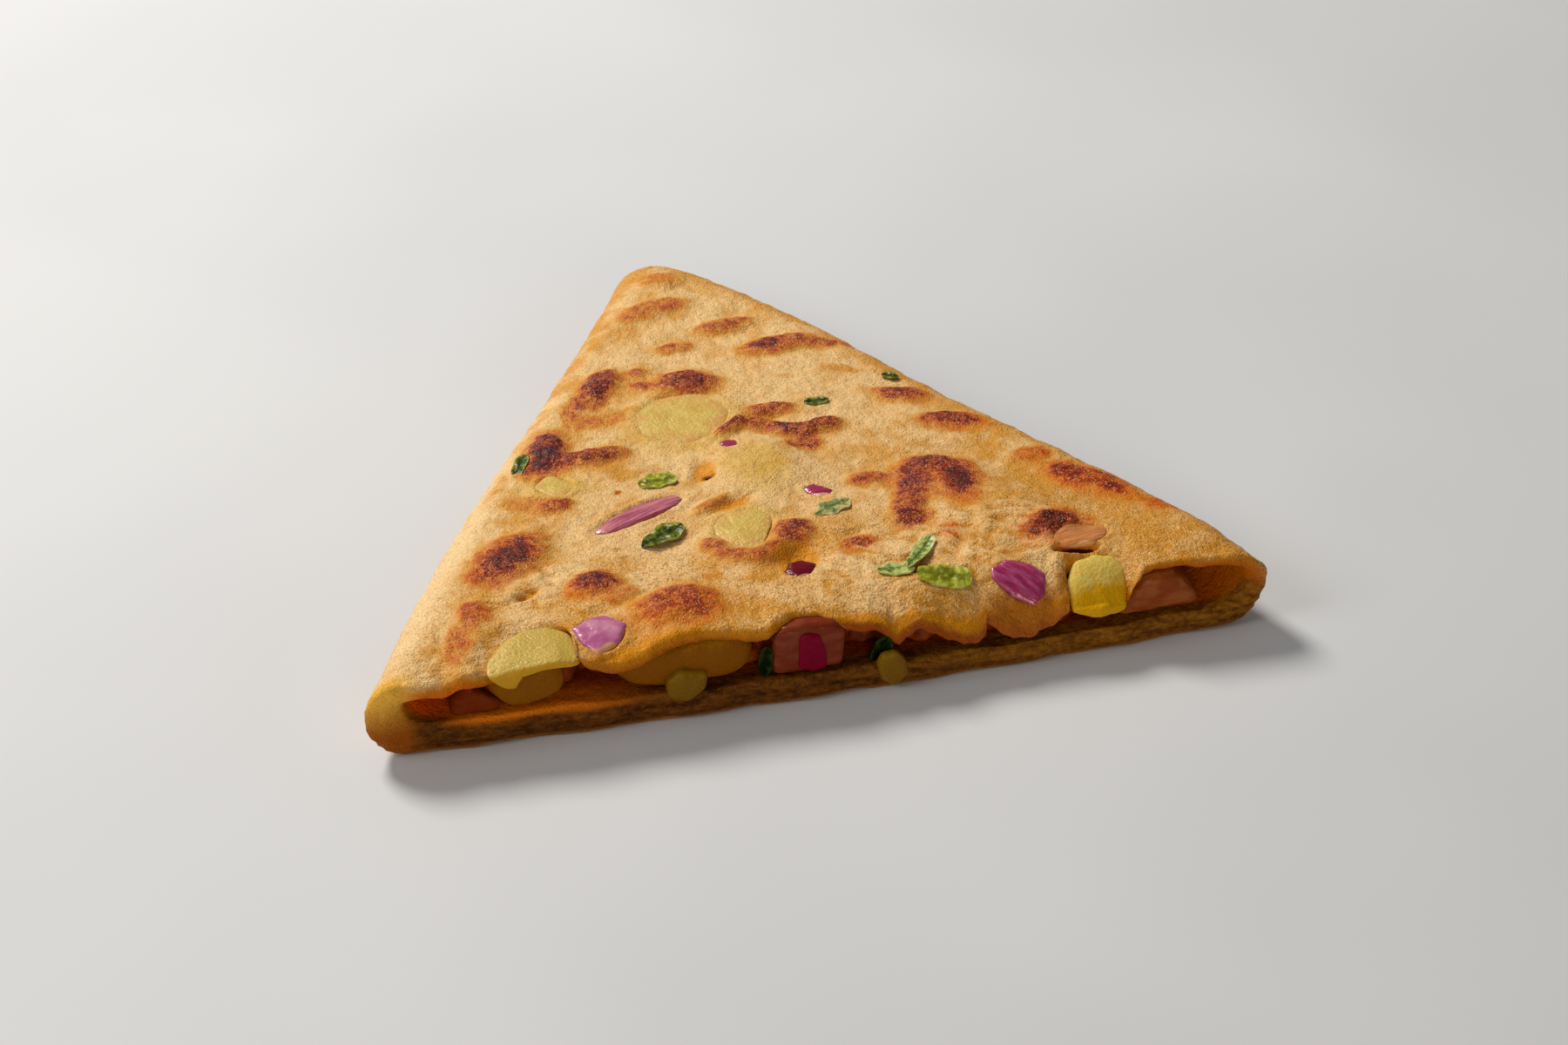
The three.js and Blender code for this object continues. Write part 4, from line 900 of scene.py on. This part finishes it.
pale_leaves = [
    make_leaf("leaf_cluster_left_piece", (13.7, -50.3), (6.2, 3.8), turn=-6, cup=-0.4, curl=0.1,
              tip=0.45),
    make_leaf("leaf_cluster_top_piece", (18.5, -47.4), (9.6, 3.2), turn=50, cup=0.6, curl=0.4,
              tip=0.5, stem=0.3),
]
bright_leaves = [
    make_leaf("leaf_cluster_right_piece", (20.8, -54.0), (9.0, 4.8), turn=-16, lift=0.45, cup=0.2,
              curl=0.2, tip=0.35),
    make_leaf("leaf_upper_piece", (-18.1, -14.4), (6.8, 5.0), turn=8, lift=0.3, cup=0.4, curl=0.1,
              tip=0.5, stem=0.2, teeth=0.14),
]
green_leaves = [
    make_leaf("leaf_lower_piece", (-20.9, -31.2), (8.8, 4.6), turn=28, lift=0.3, cup=0.4,
              curl=0.1, stem=0.4, teeth=0.1),
    make_leaf("leaf_back_piece", (14.5, 3.5), (4.6, 3.0), turn=5, lift=0.3, cup=0.1, curl=0.1),
    make_leaf("leaf_left_fold_piece", (-39.6, -3.4), (8.0, 2.8), turn=66, lift=0.3, cup=0.2,
              curl=-0.3, tip=0.7),
    make_leaf("leaf_right_fold_piece", (29.6, 9.2), (3.2, 2.2), turn=-28, lift=0.3, cup=0.2,
              curl=0.1),
]
veiled_leaf = make_leaf("leaf_middle_piece", (8.2, -30.8), (7.4, 4.6), turn=24, lift=0.25,
                        cup=0.1, curl=0, tip=0.8, stem=0.2, teeth=0.14)
dark_leaves = [
    make_leaf("herb_open_edge_piece", (-10.6, -59.9, 7.9), (5.8, 2.7), turn=86, cup=0.5,
              curl=0.2, stand=True),
    make_leaf("leaf_open_edge_piece", (8.5, -60.2, 6.4), (6.6, 3.8), turn=70, cup=0.5, curl=0.2,
              stand=True),
]
leaves = pale_leaves + bright_leaves + green_leaves + dark_leaves + [veiled_leaf]
print(len(leaves), "leaves")

# %% [markdown]
# ## The mash
#
# Behind the dice the pocket is full of spiced mash. Only its uneven front shows. The piece starts
# as a grid that is fitted to the opening of the pocket and made lumpy, and extruding that whole
# face back to the pocket's tip makes it the wedge that it is.

# %% Make the mash
MASH_COLUMNS = 170
MASH_ROWS = 16
MASH_TIP_Y = 38.0
MASH_SETBACK = 4.2
MASH_SIDE_GAP = 1.6
MASH_GAP = 0.3
MASH_NARROWING = 0.93


def mash_front_y(x, z):
    """The mash lies close behind the dice, and deeper at both ends and between two dice."""
    ends = 8 * smoothstep(-x, 54, 62) + 13 * smoothstep(x, 58, 65)
    gap = 4 * np.exp(-(((x + 39) / 4.5) ** 2)) + 2.4 * np.exp(-(((x - 5) / 3) ** 2))
    lumps = 0.7 * np.sin(0.55 * x + 0.4 * z) + 0.5 * np.sin(1.3 * x - 0.7 * z)
    return OPEN_Y + MASH_SETBACK + ends + gap + lumps


def make_mash():
    bm = bmesh.new()
    bmesh.ops.create_grid(bm, x_segments=MASH_COLUMNS, y_segments=MASH_ROWS, size=1)
    grid = vertices_of(bm)
    middle_y = np.full(len(grid), OPEN_Y + MASH_SETBACK + 1)
    left, right = outline(middle_y)
    left = left + FOLD_WALL_LEFT + MASH_SIDE_GAP
    right = right - FOLD_WALL_RIGHT - MASH_SIDE_GAP
    place_x = lerp(left, right, (grid[:, 0] + 1) / 2)
    lower = base_thickness(place_x) + MASH_GAP
    upper = crown_height(middle_y) - TOP_SHEET - sag(place_x, middle_y) - MASH_GAP
    taper = np.clip(1 - np.abs(grid[:, 0]) ** 24, 0, 1) ** 0.5
    place_z = (lower + upper) / 2 + taper * grid[:, 1] * (upper - lower) / 2
    place = np.stack([place_x, mash_front_y(place_x, place_z), place_z], 1)
    place[:, 1] += 0.6 * lumpy(place, 2.4, 3)
    move_vertices(bm, place)
    back = bmesh.ops.extrude_face_region(bm, geom=bm.faces[:])["geom"]
    tip = Vector((TIP_SHIFT, MASH_TIP_Y, (BASE_MIDDLE + TIP_HEIGHT) / 2))
    for vertex in (item for item in back if isinstance(item, bmesh.types.BMVert)):
        vertex.co = vertex.co.lerp(tip, MASH_NARROWING)
        vertex.co.y = MASH_TIP_Y
    return store(bm, "mash")


mash = make_mash()
print("mash:", len(mash.data.vertices), "vertices")

# %% [markdown]
# ## Finishes
#
# Each finish is a small graph of nodes. A few helpers keep them short: one adds a node and fills
# its sockets, others make noise of a size in millimetres, read a field, mix two colours, lay
# several coats of colour over each other, or do one step of arithmetic. Colours are written as
# they look on a screen and changed to light.


# %% Helpers for the finishes
def paint(red, green, blue):
    """A screen colour, 0 to 255, as the linear colour that a shader wants."""
    values = [channel / 255 for channel in (red, green, blue)]
    linear = [v / 12.92 if v <= 0.04045 else ((v + 0.055) / 1.055) ** 2.4 for v in values]
    return (*linear, 1)


class Finish:
    """A material under construction."""

    def __init__(self, name):
        self.material = bpy.data.materials.new(name)
        self.material.use_nodes = True
        self.tree = self.material.node_tree
        self.shader = self.tree.nodes["Principled BSDF"]
        place = self.add("ShaderNodeTexCoord").outputs["Object"]
        scaled = self.add("ShaderNodeMapping", {"Vector": place, "Scale": (1 / MM,) * 3})
        self.millimetres = scaled.outputs["Vector"]

    def plug(self, value, socket):
        """Links what comes from another node, and writes any other value into the socket."""
        if isinstance(value, bpy.types.NodeSocket):
            self.tree.links.new(value, socket)
        else:
            socket.default_value = value

    def add(self, kind, inputs=None, **settings):
        node = self.tree.nodes.new(kind)
        for key, value in settings.items():
            setattr(node, key, value)
        for socket, value in (inputs or {}).items():
            self.plug(value, node.inputs[socket])
        return node

    def field(self, name):
        return self.add("ShaderNodeAttribute", attribute_name=name).outputs["Fac"]

    def noise(self, size, detail=2.0, stretch=(1, 1, 1)):
        """Noise from 0 to 1 with lumps of that many millimetres."""
        place = self.millimetres
        if stretch != (1, 1, 1):
            place = self.add("ShaderNodeMapping", {"Vector": place, "Scale": stretch}).outputs[0]
        inputs = {"Vector": place, "Scale": 1 / size, "Detail": detail}
        return self.add("ShaderNodeTexNoise", inputs).outputs["Fac"]

    def grains(self, size):
        """Small cells: the distance from the middle of each, and its own number from 0 to 1."""
        inputs = {"Vector": self.millimetres, "Scale": 1 / size}
        node = self.add("ShaderNodeTexVoronoi", inputs)
        tone = self.add("ShaderNodeSeparateColor", {"Color": node.outputs["Color"]})
        return node.outputs["Distance"], tone.outputs[0]

    def plus(self, a, b):
        return self.add("ShaderNodeMath", {0: a, 1: b}, operation="ADD").outputs[0]

    def times(self, a, b, then_add=0.0):
        inputs = {0: a, 1: b, 2: then_add}
        return self.add("ShaderNodeMath", inputs, operation="MULTIPLY_ADD").outputs[0]

    def span(self, value, start, end, low=0.0, high=1.0):
        """low up to start, high from end on, smooth between them."""
        inputs = {"Value": value, "From Min": start, "From Max": end, "To Min": low, "To Max": high}
        node = self.add("ShaderNodeMapRange", inputs, interpolation_type="SMOOTHSTEP")
        return node.outputs["Result"]

    def mix(self, factor, a, b, blend="MIX"):
        node = self.add("ShaderNodeMix", data_type="RGBA", blend_type=blend)
        for socket, value in zip((0, 6, 7), (factor, a, b)):
            self.plug(value, node.inputs[socket])
        return node.outputs[2]

    def layers(self, colour, coats):
        """Lays one coat of colour after another over the first, each by its own share."""
        for share, coat in coats:
            colour = self.mix(share, colour, coat)
        return colour

    def ramp(self, value, stops):
        node = self.add("ShaderNodeValToRGB", {"Fac": value})
        elements = node.color_ramp.elements
        while len(elements) < len(stops):
            elements.new(0.5)
        for element, (position, colour) in zip(elements, stops):
            element.position = position
            element.color = colour
        return node.outputs["Color"]

    def bump(self, height, depth, below=None):
        """Raises the surface by up to depth millimetres where height is 1."""
        inputs = {"Height": height, "Distance": depth * MM, "Strength": 1.0}
        if below is not None:
            inputs["Normal"] = below
        return self.add("ShaderNodeBump", inputs).outputs["Normal"]

    def done(self, colour, roughness, normal, translucent=0.0, depth=1.0, gloss=0.5, coat=0.0,
             tint=(1.0, 1.0, 1.0, 1.0)):
        """Connects colour, roughness and normal. The rest is the same all over."""
        shader = self.shader
        self.plug(colour, shader.inputs["Base Color"])
        self.plug(roughness, shader.inputs["Roughness"])
        if normal is not None:
            self.plug(normal, shader.inputs["Normal"])
        shader.inputs["Subsurface Weight"].default_value = translucent
        shader.inputs["Subsurface Radius"].default_value = (1.0, 0.45, 0.15)
        shader.inputs["Subsurface Scale"].default_value = depth * MM
        shader.inputs["Specular IOR Level"].default_value = gloss
        shader.inputs["Specular Tint"].default_value = tint
        shader.inputs["Coat Weight"].default_value = coat
        shader.inputs["Coat Roughness"].default_value = 0.12
        return self.material


def dress(pieces, *finishes):
    """Gives each piece its own finish, or all of them the same one."""
    for number, piece in enumerate(pieces):
        piece.data.materials.append(finishes[number % len(finishes)])


print("finish helpers are ready")

# %% [markdown]
# Griddled dough is never one colour. Pale, floury ground is mottled with gold. Blisters go from
# an orange halo to red brown and almost black, and carry tiny raised grains; their pale dots are
# partly grain and partly painted glints. The stretched edge is thin, amber and a little clear, and
# the inside is moist and dark. The colour is built up in that order, from the ground to the edge.
# Shade is painted below blisters, under the hanging lip, in deep pits, in flake troughs and near
# the table; light is painted on the left fold and the pocket floor, and a glow in the pocket's
# ends.


# %% The ground of the dough
def dough_ground(finish, grain, spot, tone):
    mottle = finish.noise(5.5, 3)
    blush = finish.noise(2.6, 3)
    bran = finish.noise(0.8, 1)
    grain_and_glints = finish.field("grain_and_glints")
    gold = finish.plus(finish.field("golden_with_painted_fold_light"), finish.span(mottle, 0.34, 0.66, -0.42, 0.42))
    dark = finish.times(finish.span(grain, 0.46, 0.64), finish.span(grain_and_glints, 0, 1, 0.26, 0.7))
    # Pale dots on the ground: partly pale grain and partly painted glints of oil.
    light = finish.times(finish.span(spot, 0.42, 0.2), finish.span(tone, 0.6, 0.72))
    light = finish.times(light, finish.span(grain_and_glints, 0, 1, 0.4, 0.8))
    return finish.layers(paint(230, 190, 130), [
        (finish.span(gold, 0, 1), paint(206, 144, 54)),
        (finish.span(blush, 0.5, 0.7, 0, 0.4), paint(214, 152, 80)),
        (finish.field("yellow"), paint(208, 166, 66)),
        # painted light on the left fold
        (finish.times(finish.field("lit_left_fold"), 0.6), paint(240, 208, 156)),
        (dark, paint(180, 112, 36)),
        (light, paint(255, 222, 150)),
        (finish.span(bran, 0.71, 0.78, 0, 0.5), paint(140, 80, 30)),
    ])


# %% The browned blisters
def dough_browning(finish, colour, spot, tone):
    patchy = finish.noise(1.5, 3)
    brown = finish.field("brown")
    rough = finish.times(finish.span(patchy, 0.3, 0.7, -0.2, 0.2),
                         finish.span(brown, 0.04, 0.5), brown)
    burnt = finish.ramp(rough, [
        (0.0, paint(210, 158, 74)), (0.14, paint(206, 144, 58)), (0.3, paint(198, 114, 48)),
        (0.46, paint(176, 84, 44)), (0.62, paint(148, 62, 44)), (0.78, paint(108, 44, 46)),
        (0.98, paint(62, 34, 48)),
    ])
    fat = finish.span(finish.field("golden_with_painted_fold_light"), 0.25, 0.8)
    burnt = finish.mix(fat, burnt, paint(255, 214, 132), "MULTIPLY")
    # Pale dots on the blisters: partly raised grain and partly painted glints of oil.
    light = finish.times(finish.span(tone, 0.4, 0.5), finish.span(spot, 0.5, 0.22))
    light = finish.times(light, finish.span(brown, 0.12, 0.4, 0, 0.7))
    light = finish.times(light, finish.span(brown, 0.5, 0.9, 1, 0.45))
    dark = finish.times(finish.span(tone, 0.34, 0.2), finish.span(brown, 0.25, 0.6, 0, 0.6))
    burnt = finish.layers(burnt, [(light, paint(250, 192, 140)), (dark, paint(104, 32, 24))])
    return finish.mix(finish.span(rough, 0.02, 0.2), colour, burnt)


# %% The edge and the inside of the dough
def torn_layers(finish):
    """The layers of the torn edge, painted with more light towards the right and with contact shade
    near the table.
    """
    fibres = finish.noise(0.7, 3, (0.5, 0.6, 1.0))
    light = finish.times(finish.field("layers"), 0.5, finish.span(fibres, 0.35, 0.65, 0, 0.5))
    shaded = finish.mix(light, paint(56, 22, 0), paint(120, 68, 8))
    lit = finish.mix(light, paint(88, 44, 4), paint(158, 102, 18))
    return finish.mix(finish.field("rightward"), shaded, lit)


def dough_edge(finish, colour):
    flakes = finish.field("flakes")
    hollow = finish.field("hollow")
    amber = finish.mix(finish.field("shaded_lip"), paint(206, 132, 4), paint(146, 66, 2))
    # Painted glow and painted light: the left end of the rim is bright amber, paler towards its
    # top.
    end = finish.mix(finish.field("high"), paint(150, 76, 0), paint(226, 170, 62))
    return finish.layers(colour, [
        # Painted light and shade along the relief: crests of the flakes are paler and troughs
        # darker.
        (finish.span(flakes, 0.02, 0.5, 0, 0.42), paint(240, 204, 146)),
        (finish.span(flakes, -0.02, -0.5, 0, 0.5), paint(180, 116, 54)),
        (finish.span(hollow, 0.3, 0.85, 0, 0.9), paint(214, 138, 26)),
        # Painted shade: the deepest pits and tears are dark red brown.
        (finish.span(hollow, 1.3, 1.7), paint(92, 18, 8)),
        (finish.span(finish.field("amber"), 0, 1, 0, 0.94), amber),
        (finish.times(finish.field("underneath"), 0.8), paint(150, 84, 2)),
        (finish.field("inside"), paint(146, 56, 2)),
        # painted glow in both ends of the pocket
        (finish.field("left_room_glow"), paint(232, 104, 2)),
        (finish.field("right_room_glow"), paint(190, 98, 2)),
        (finish.field("torn"), torn_layers(finish)),
        # painted light on the pocket floor
        (finish.field("floor"), paint(222, 118, 8)),
        (finish.field("left_end"), end),
        (finish.times(finish.field("pink"), 0.7), paint(166, 90, 26)),
    ])


# %% Dough
def dough_finish():
    finish = Finish("griddled_dough")
    grain = finish.noise(0.42, 2)
    spot, tone = finish.grains(0.42)
    colour = dough_ground(finish, grain, spot, tone)
    colour = dough_browning(finish, colour, spot, tone)
    colour = dough_edge(finish, colour)
    normal = finish.bump(finish.noise(1.5, 3), 0.45)
    normal = finish.bump(grain, 0.2, normal)
    raised = finish.times(finish.span(spot, 0.45, 0.1),
                          finish.span(finish.field("brown"), 0.1, 0.5, 0.35, 1))
    normal = finish.bump(raised, 0.24, normal)
    roughness = finish.span(tone, 0.4, 0.8, 0.62, 0.26)
    return finish.done(colour, roughness, normal, translucent=0.12, depth=1.0, gloss=0.15,
                       tint=(1.0, 0.8, 0.5, 1.0))


dough = dough_finish()
dress([bread], dough)
print("dough has", len(dough.node_tree.nodes), "nodes")

# %% [markdown]
# Cooked potato is moist and lets light in, so it has strong subsurface scattering. Its cut face
# is deep yellow where turmeric has soaked in, and floury. Faces that look up are painted paler,
# partly for the flour and partly as painted light, and the front of a dice stays deep, as painted
# shade; dice in the shade of the open edge get darker colours, as painted shade. On a patch in the
# top face, the rim takes the dough's colour, so it fades into the bread.


# %% Potato
def potato_finish(name, pale, deep, patch=False, front=0.0, gloss=0.4):
    """front is how much deeper the colour gets towards the front of a dice, as painted shade."""
    finish = Finish(name)
    cloud = finish.noise(3.0, 3)
    grain = finish.noise(0.5, 2)
    if patch:
        soft = finish.plus(finish.field("rim"), finish.span(cloud, 0.3, 0.7, -0.25, 0.25))
        colour = finish.layers(pale, [
            (finish.span(cloud, 0.3, 0.7), deep),
            (finish.span(soft, 0.5, 0.95, 0, 0.95), paint(208, 156, 84)),
            (finish.span(grain, 0.5, 0.7, 0, 0.3), paint(224, 196, 120)),
        ])
    else:
        # Painted light and shade: faces that look up are paler, and the front of a dice stays deep.
        high = finish.plus(finish.field("upward"), finish.span(cloud, 0.3, 0.7, -0.14, 0.14))
        high = finish.times(finish.field("frontward"), -front, high)
        colour = finish.layers(deep, [
            (finish.span(high, 0.3, 0.85), pale),
            (finish.span(grain, 0.5, 0.66, 0, 0.45), deep),
        ])
    specks = finish.span(finish.noise(0.7, 1), 0.75, 0.8, 0, 0.6)
    colour = finish.mix(specks, colour, paint(128, 96, 30))
    normal = finish.bump(grain, 0.18)
    roughness = finish.span(grain, 0.3, 0.7, 0.34, 0.56)
    return finish.done(colour, roughness, normal, translucent=0.3, depth=2.0, gloss=gloss,
                       tint=(1.0, 0.9, 0.6, 1.0))


# The dice in the shade of the open edge get darker potato colours, as painted shade.
floury_top_lit_potato = potato_finish("potato_floury_with_painted_top_light", paint(192, 162, 72), paint(198, 146, 0))
clear_potato = potato_finish("potato_clear_and_yellow", paint(216, 188, 92), paint(210, 156, 0),
                             front=0.9, gloss=0.2)
dim_potato = potato_finish("potato_turmeric_yellow_in_painted_shade", paint(152, 98, 0), paint(136, 80, 0),
                           gloss=0.1)
shaded_small_potato = potato_finish("potato_small_in_painted_shade", paint(142, 106, 18), paint(124, 88, 6),
                            gloss=0.14)
potato_patch = potato_finish("pressed_potato", paint(208, 176, 88), paint(200, 164, 74), patch=True)
dress(potatoes, floury_top_lit_potato, dim_potato, dim_potato, shaded_small_potato, shaded_small_potato, clear_potato)
dress(top_potatoes, potato_patch)
print("potato is done")

# %% [markdown]
# Red onion has a thin magenta skin over pale flesh, wet enough to mirror the light, and streaks
# run through the skin; on the two pieces at the front their pale streaks are partly painted glints.
# The flesh shows as a pale edge at the front of a cut piece. Softened onion has lost its colour and
# is a dull, clear pink brown; its pieces in shade and in light get darker and brighter copies of
# it, as painted shade and painted light.


# %% Onion
NO_FLESH_EDGE = 2.0


def onion_finish(name, skin, streak_and_glint, flesh, share=0.4, edge=0.7, turn=0, shine=0.6, gloss=0.5,
                 fine=0.5):
    """turn is the way that the streaks run, in degrees, and edge is where the flesh begins."""
    finish = Finish(name)
    inputs = {"Vector": finish.millimetres, "Rotation": (0, 0, math.radians(turn))}
    inputs["Scale"] = (4.5, fine, 1.5)
    along = finish.add("ShaderNodeMapping", inputs, vector_type="TEXTURE").outputs[0]
    streaks = finish.add("ShaderNodeTexNoise", {"Vector": along, "Scale": 1.0, "Detail": 2})
    streaks = streaks.outputs["Fac"]
    # The streak colour is partly real streaks and partly painted glints.
    colour = finish.mix(finish.span(streaks, 0.35, 0.7, 0, share), skin, streak_and_glint)
    ends = finish.times(streaks, 0.3, finish.field("frontward"))
    colour = finish.mix(finish.span(ends, edge + 0.15, edge + 0.3), colour, flesh)
    normal = finish.bump(streaks, 0.22)
    normal = finish.bump(finish.noise(2.2, 2), 0.3, normal)
    return finish.done(colour, 0.24, normal, translucent=0.25, depth=1.5, gloss=gloss, coat=shine)


flesh_colour = paint(214, 160, 124)
lilac_onion = onion_finish("lilac_onion", paint(184, 92, 140), paint(206, 142, 160),
                           paint(218, 158, 118), share=0.7, edge=0.66, turn=-24, fine=2.4)
red_onion = onion_finish("red_onion", paint(158, 24, 84), paint(196, 96, 140),
                         paint(176, 50, 90), share=0.7, turn=-38, fine=0.6)
cut_onion = onion_finish("cut_red_onion", paint(146, 24, 66), paint(184, 70, 118), flesh_colour,
                         edge=0.55, gloss=0.4, shine=0.3)
dark_onion = onion_finish("dark_red_onion", paint(100, 0, 18), paint(120, 8, 40), flesh_colour,
                          edge=0.7, gloss=0.2, shine=0.25)
sliver_onion = onion_finish("onion_sliver_skin", paint(166, 76, 104), paint(214, 140, 140),
                            paint(200, 120, 130), share=0.8, edge=0.9, turn=24, shine=0.3)
skin_onion = onion_finish("onion_skin_in_shade", paint(120, 0, 34), paint(134, 0, 54),
                          paint(112, 10, 30), edge=NO_FLESH_EDGE, shine=0.0, gloss=0.06)
# The softened onion has a darker copy in the shade and a brighter one in the light, as painted
# shade and painted light.
soft_look = {"flesh": paint(150, 66, 20), "edge": NO_FLESH_EDGE, "shine": 0.0, "fine": 1.6}
pale_onion = onion_finish("softened_onion", paint(116, 44, 20), paint(136, 68, 46), share=0.6,
                          gloss=0.08, **soft_look)
deep_onion = onion_finish("onion_deep_in_the_pocket", paint(112, 38, 4), paint(124, 54, 10),
                          share=0.6, gloss=0.05, **soft_look)
amber_onion = onion_finish("onion_in_the_light", paint(136, 60, 12), paint(164, 94, 44),
                           share=0.7, gloss=0.12, **soft_look)
matte_onion = onion_finish("fried_onion", paint(190, 116, 58), paint(216, 152, 100),
                           paint(226, 170, 112), share=0.6, edge=0.8, turn=10, shine=0.1,
                           gloss=0.25)
dress(red_onions, lilac_onion, red_onion, skin_onion)
dress(top_onions, sliver_onion, cut_onion, cut_onion, dark_onion)
dress(pale_onions, pale_onion, deep_onion, amber_onion)
dress([flap], matte_onion)
print("onion is done")

# %% [markdown]
# A wilted leaflet is dark and wet along its middle and at its stem, and pale at its turned
# edges. In the shade of the open edge it is almost black.


# %% Leaf and mash
def leaf_finish(name, deep, light, edge, gloss=0.4):
    finish = Finish(name)
    cloud = finish.span(finish.noise(1.2, 3), 0.3, 0.7, -0.32, 0.32)
    tone = finish.times(finish.field("rim"), 0.7, cloud)
    tone = finish.times(finish.field("lengthways"), 0.16, tone)
    colour = finish.ramp(finish.span(tone, -0.2, 1.0), [(0.1, deep), (0.55, light), (0.95, edge)])
    normal = finish.bump(finish.noise(0.8, 3), 0.25)
    return finish.done(colour, 0.28, normal, translucent=0.1, depth=0.6, gloss=gloss)


def mash_finish():
    finish = Finish("spiced_mash")
    cloud = finish.noise(3.0, 3)
    colour = finish.mix(finish.span(cloud, 0.35, 0.65), paint(104, 32, 4), paint(156, 68, 10))
    normal = finish.bump(finish.noise(0.8, 3), 0.3)
    return finish.done(colour, 0.5, normal, translucent=0.15, depth=1.5, gloss=0.15)


pale_leaf = leaf_finish("coriander_pale", paint(96, 112, 44), paint(176, 188, 98),
                        paint(190, 198, 116))
bright_leaf = leaf_finish("coriander_bright", paint(112, 116, 20), paint(160, 160, 36),
                          paint(178, 180, 78), gloss=0.3)
green_leaf = leaf_finish("coriander_leaf", paint(44, 58, 8), paint(92, 100, 20),
                         paint(146, 150, 60), gloss=0.3)
veil = leaf_finish("coriander_under_dough", paint(102, 118, 62), paint(156, 154, 92),
                   paint(206, 184, 122), gloss=0.15)
shaded_leaf = leaf_finish("coriander_in_shade", paint(8, 20, 2), paint(22, 38, 4),
                          paint(44, 56, 8), gloss=0.05)
dress(pale_leaves, pale_leaf)
dress(bright_leaves, bright_leaf)
dress(green_leaves, green_leaf)
dress(dark_leaves, shaded_leaf)
dress([veiled_leaf], veil)
dress([mash], mash_finish())
print("leaf and mash are done")

# %% [markdown]
# ## Put the pieces in the frame
#
# Every piece stands for one node of the frame and moves with its only body. Its name is the
# node's name with an ending, so that the pairs can be made by a loop.

# %% Tie pieces to the frame
groups = {
    "potato": potatoes + top_potatoes,
    "onion": red_onions + top_onions,
    "onion_pale": pale_onions + [flap],
    "leaf": leaves,
}
pairs = [(bread, "bread", "dough"), (mash, "filling", "filling")]
for slot, members in groups.items():
    pairs += [(piece, piece.name.removesuffix("_piece"), slot) for piece in members]
for piece, node, slot in pairs:
    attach(piece, "root")
    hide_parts(node)
print(len(pairs), "pieces stand for", len(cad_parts), "nodes")

# %% [markdown]
# ## Camera, light and floor
#
# The food is seen from a little left of the front and from above, with a long lens. One large
# soft lamp behind it on the left lights the top and leaves the open edge in shade, as window
# light does. A weaker one at the side, a low warm one in front and the pale floor keep the
# shade open.

# %% Camera
CAMERA_TARGET = Vector((4.36, -13.3 - CENTRE_Y, 0)) * MM
CAMERA_DISTANCE = 560 * MM
CAMERA_UP = math.radians(35.5)
CAMERA_LEFT = math.radians(14.3)
CAMERA_LENS = 74.2
CAMERA_SENSOR = 36
CAMERA_NEAREST = 10 * MM


def look_at(thing, place, target):
    thing.location = place
    thing.rotation_euler = (target - place).to_track_quat("-Z", "Y").to_euler()


def make_camera():
    data = bpy.data.cameras.new("camera")
    data.lens = CAMERA_LENS
    data.sensor_width = CAMERA_SENSOR
    data.clip_start = CAMERA_NEAREST
    camera = bpy.data.objects.new("camera", data)
    bpy.context.scene.collection.objects.link(camera)
    level = math.cos(CAMERA_UP)
    direction = Vector((-level * math.sin(CAMERA_LEFT), -level * math.cos(CAMERA_LEFT),
                        math.sin(CAMERA_UP)))
    look_at(camera, CAMERA_TARGET + direction * CAMERA_DISTANCE, CAMERA_TARGET)
    bpy.context.scene.camera = camera
    return camera


camera = make_camera()
print("camera at", [round(value, 3) for value in camera.location])


# %% Light and floor
LAMPS = [
    # name, place in metres, width in metres, power in watts, colour
    ("key_lamp", (-0.35, 0.62, 0.75), 0.35, 10.4, (1.0, 0.97, 0.92)),
    ("side_lamp", (-0.8, -0.1, 0.6), 0.5, 2.9, (1.0, 1.0, 1.0)),
    ("front_lamp", (-0.1, -0.9, 0.22), 0.4, 1.7, (1.0, 0.86, 0.66)),
]
FLOOR_REACH = 3000
SKY_COLOUR = (0.85, 0.88, 0.92, 1)
SKY_STRENGTH = 0.16


def make_lamp(name, place, size, power, colour):
    data = bpy.data.lights.new(name, "AREA")
    data.shape = "DISK"
    data.size = size
    data.energy = power
    data.color = colour
    lamp = bpy.data.objects.new(name, data)
    bpy.context.scene.collection.objects.link(lamp)
    look_at(lamp, Vector(place), Vector((0, 0, 0)))
    return lamp


def make_floor():
    bm = bmesh.new()
    bmesh.ops.create_grid(bm, x_segments=1, y_segments=1, size=FLOOR_REACH)
    floor = store(bm, "floor")
    finish = Finish("pale_floor")
    tone = finish.noise(120, 2)
    colour = finish.mix(finish.span(tone, 0.3, 0.7), paint(206, 206, 207), paint(212, 212, 212))
    dress([floor], finish.done(colour, 0.7, None, gloss=0.3))
    return floor


for lamp in LAMPS:
    make_lamp(*lamp)
make_floor()

world = bpy.data.worlds.new("studio")
world.use_nodes = True
world.node_tree.nodes["Background"].inputs["Color"].default_value = SKY_COLOUR
world.node_tree.nodes["Background"].inputs["Strength"].default_value = SKY_STRENGTH
bpy.context.scene.world = world
bpy.context.scene.view_settings.view_transform = "Standard"
print("lights and floor are in place")
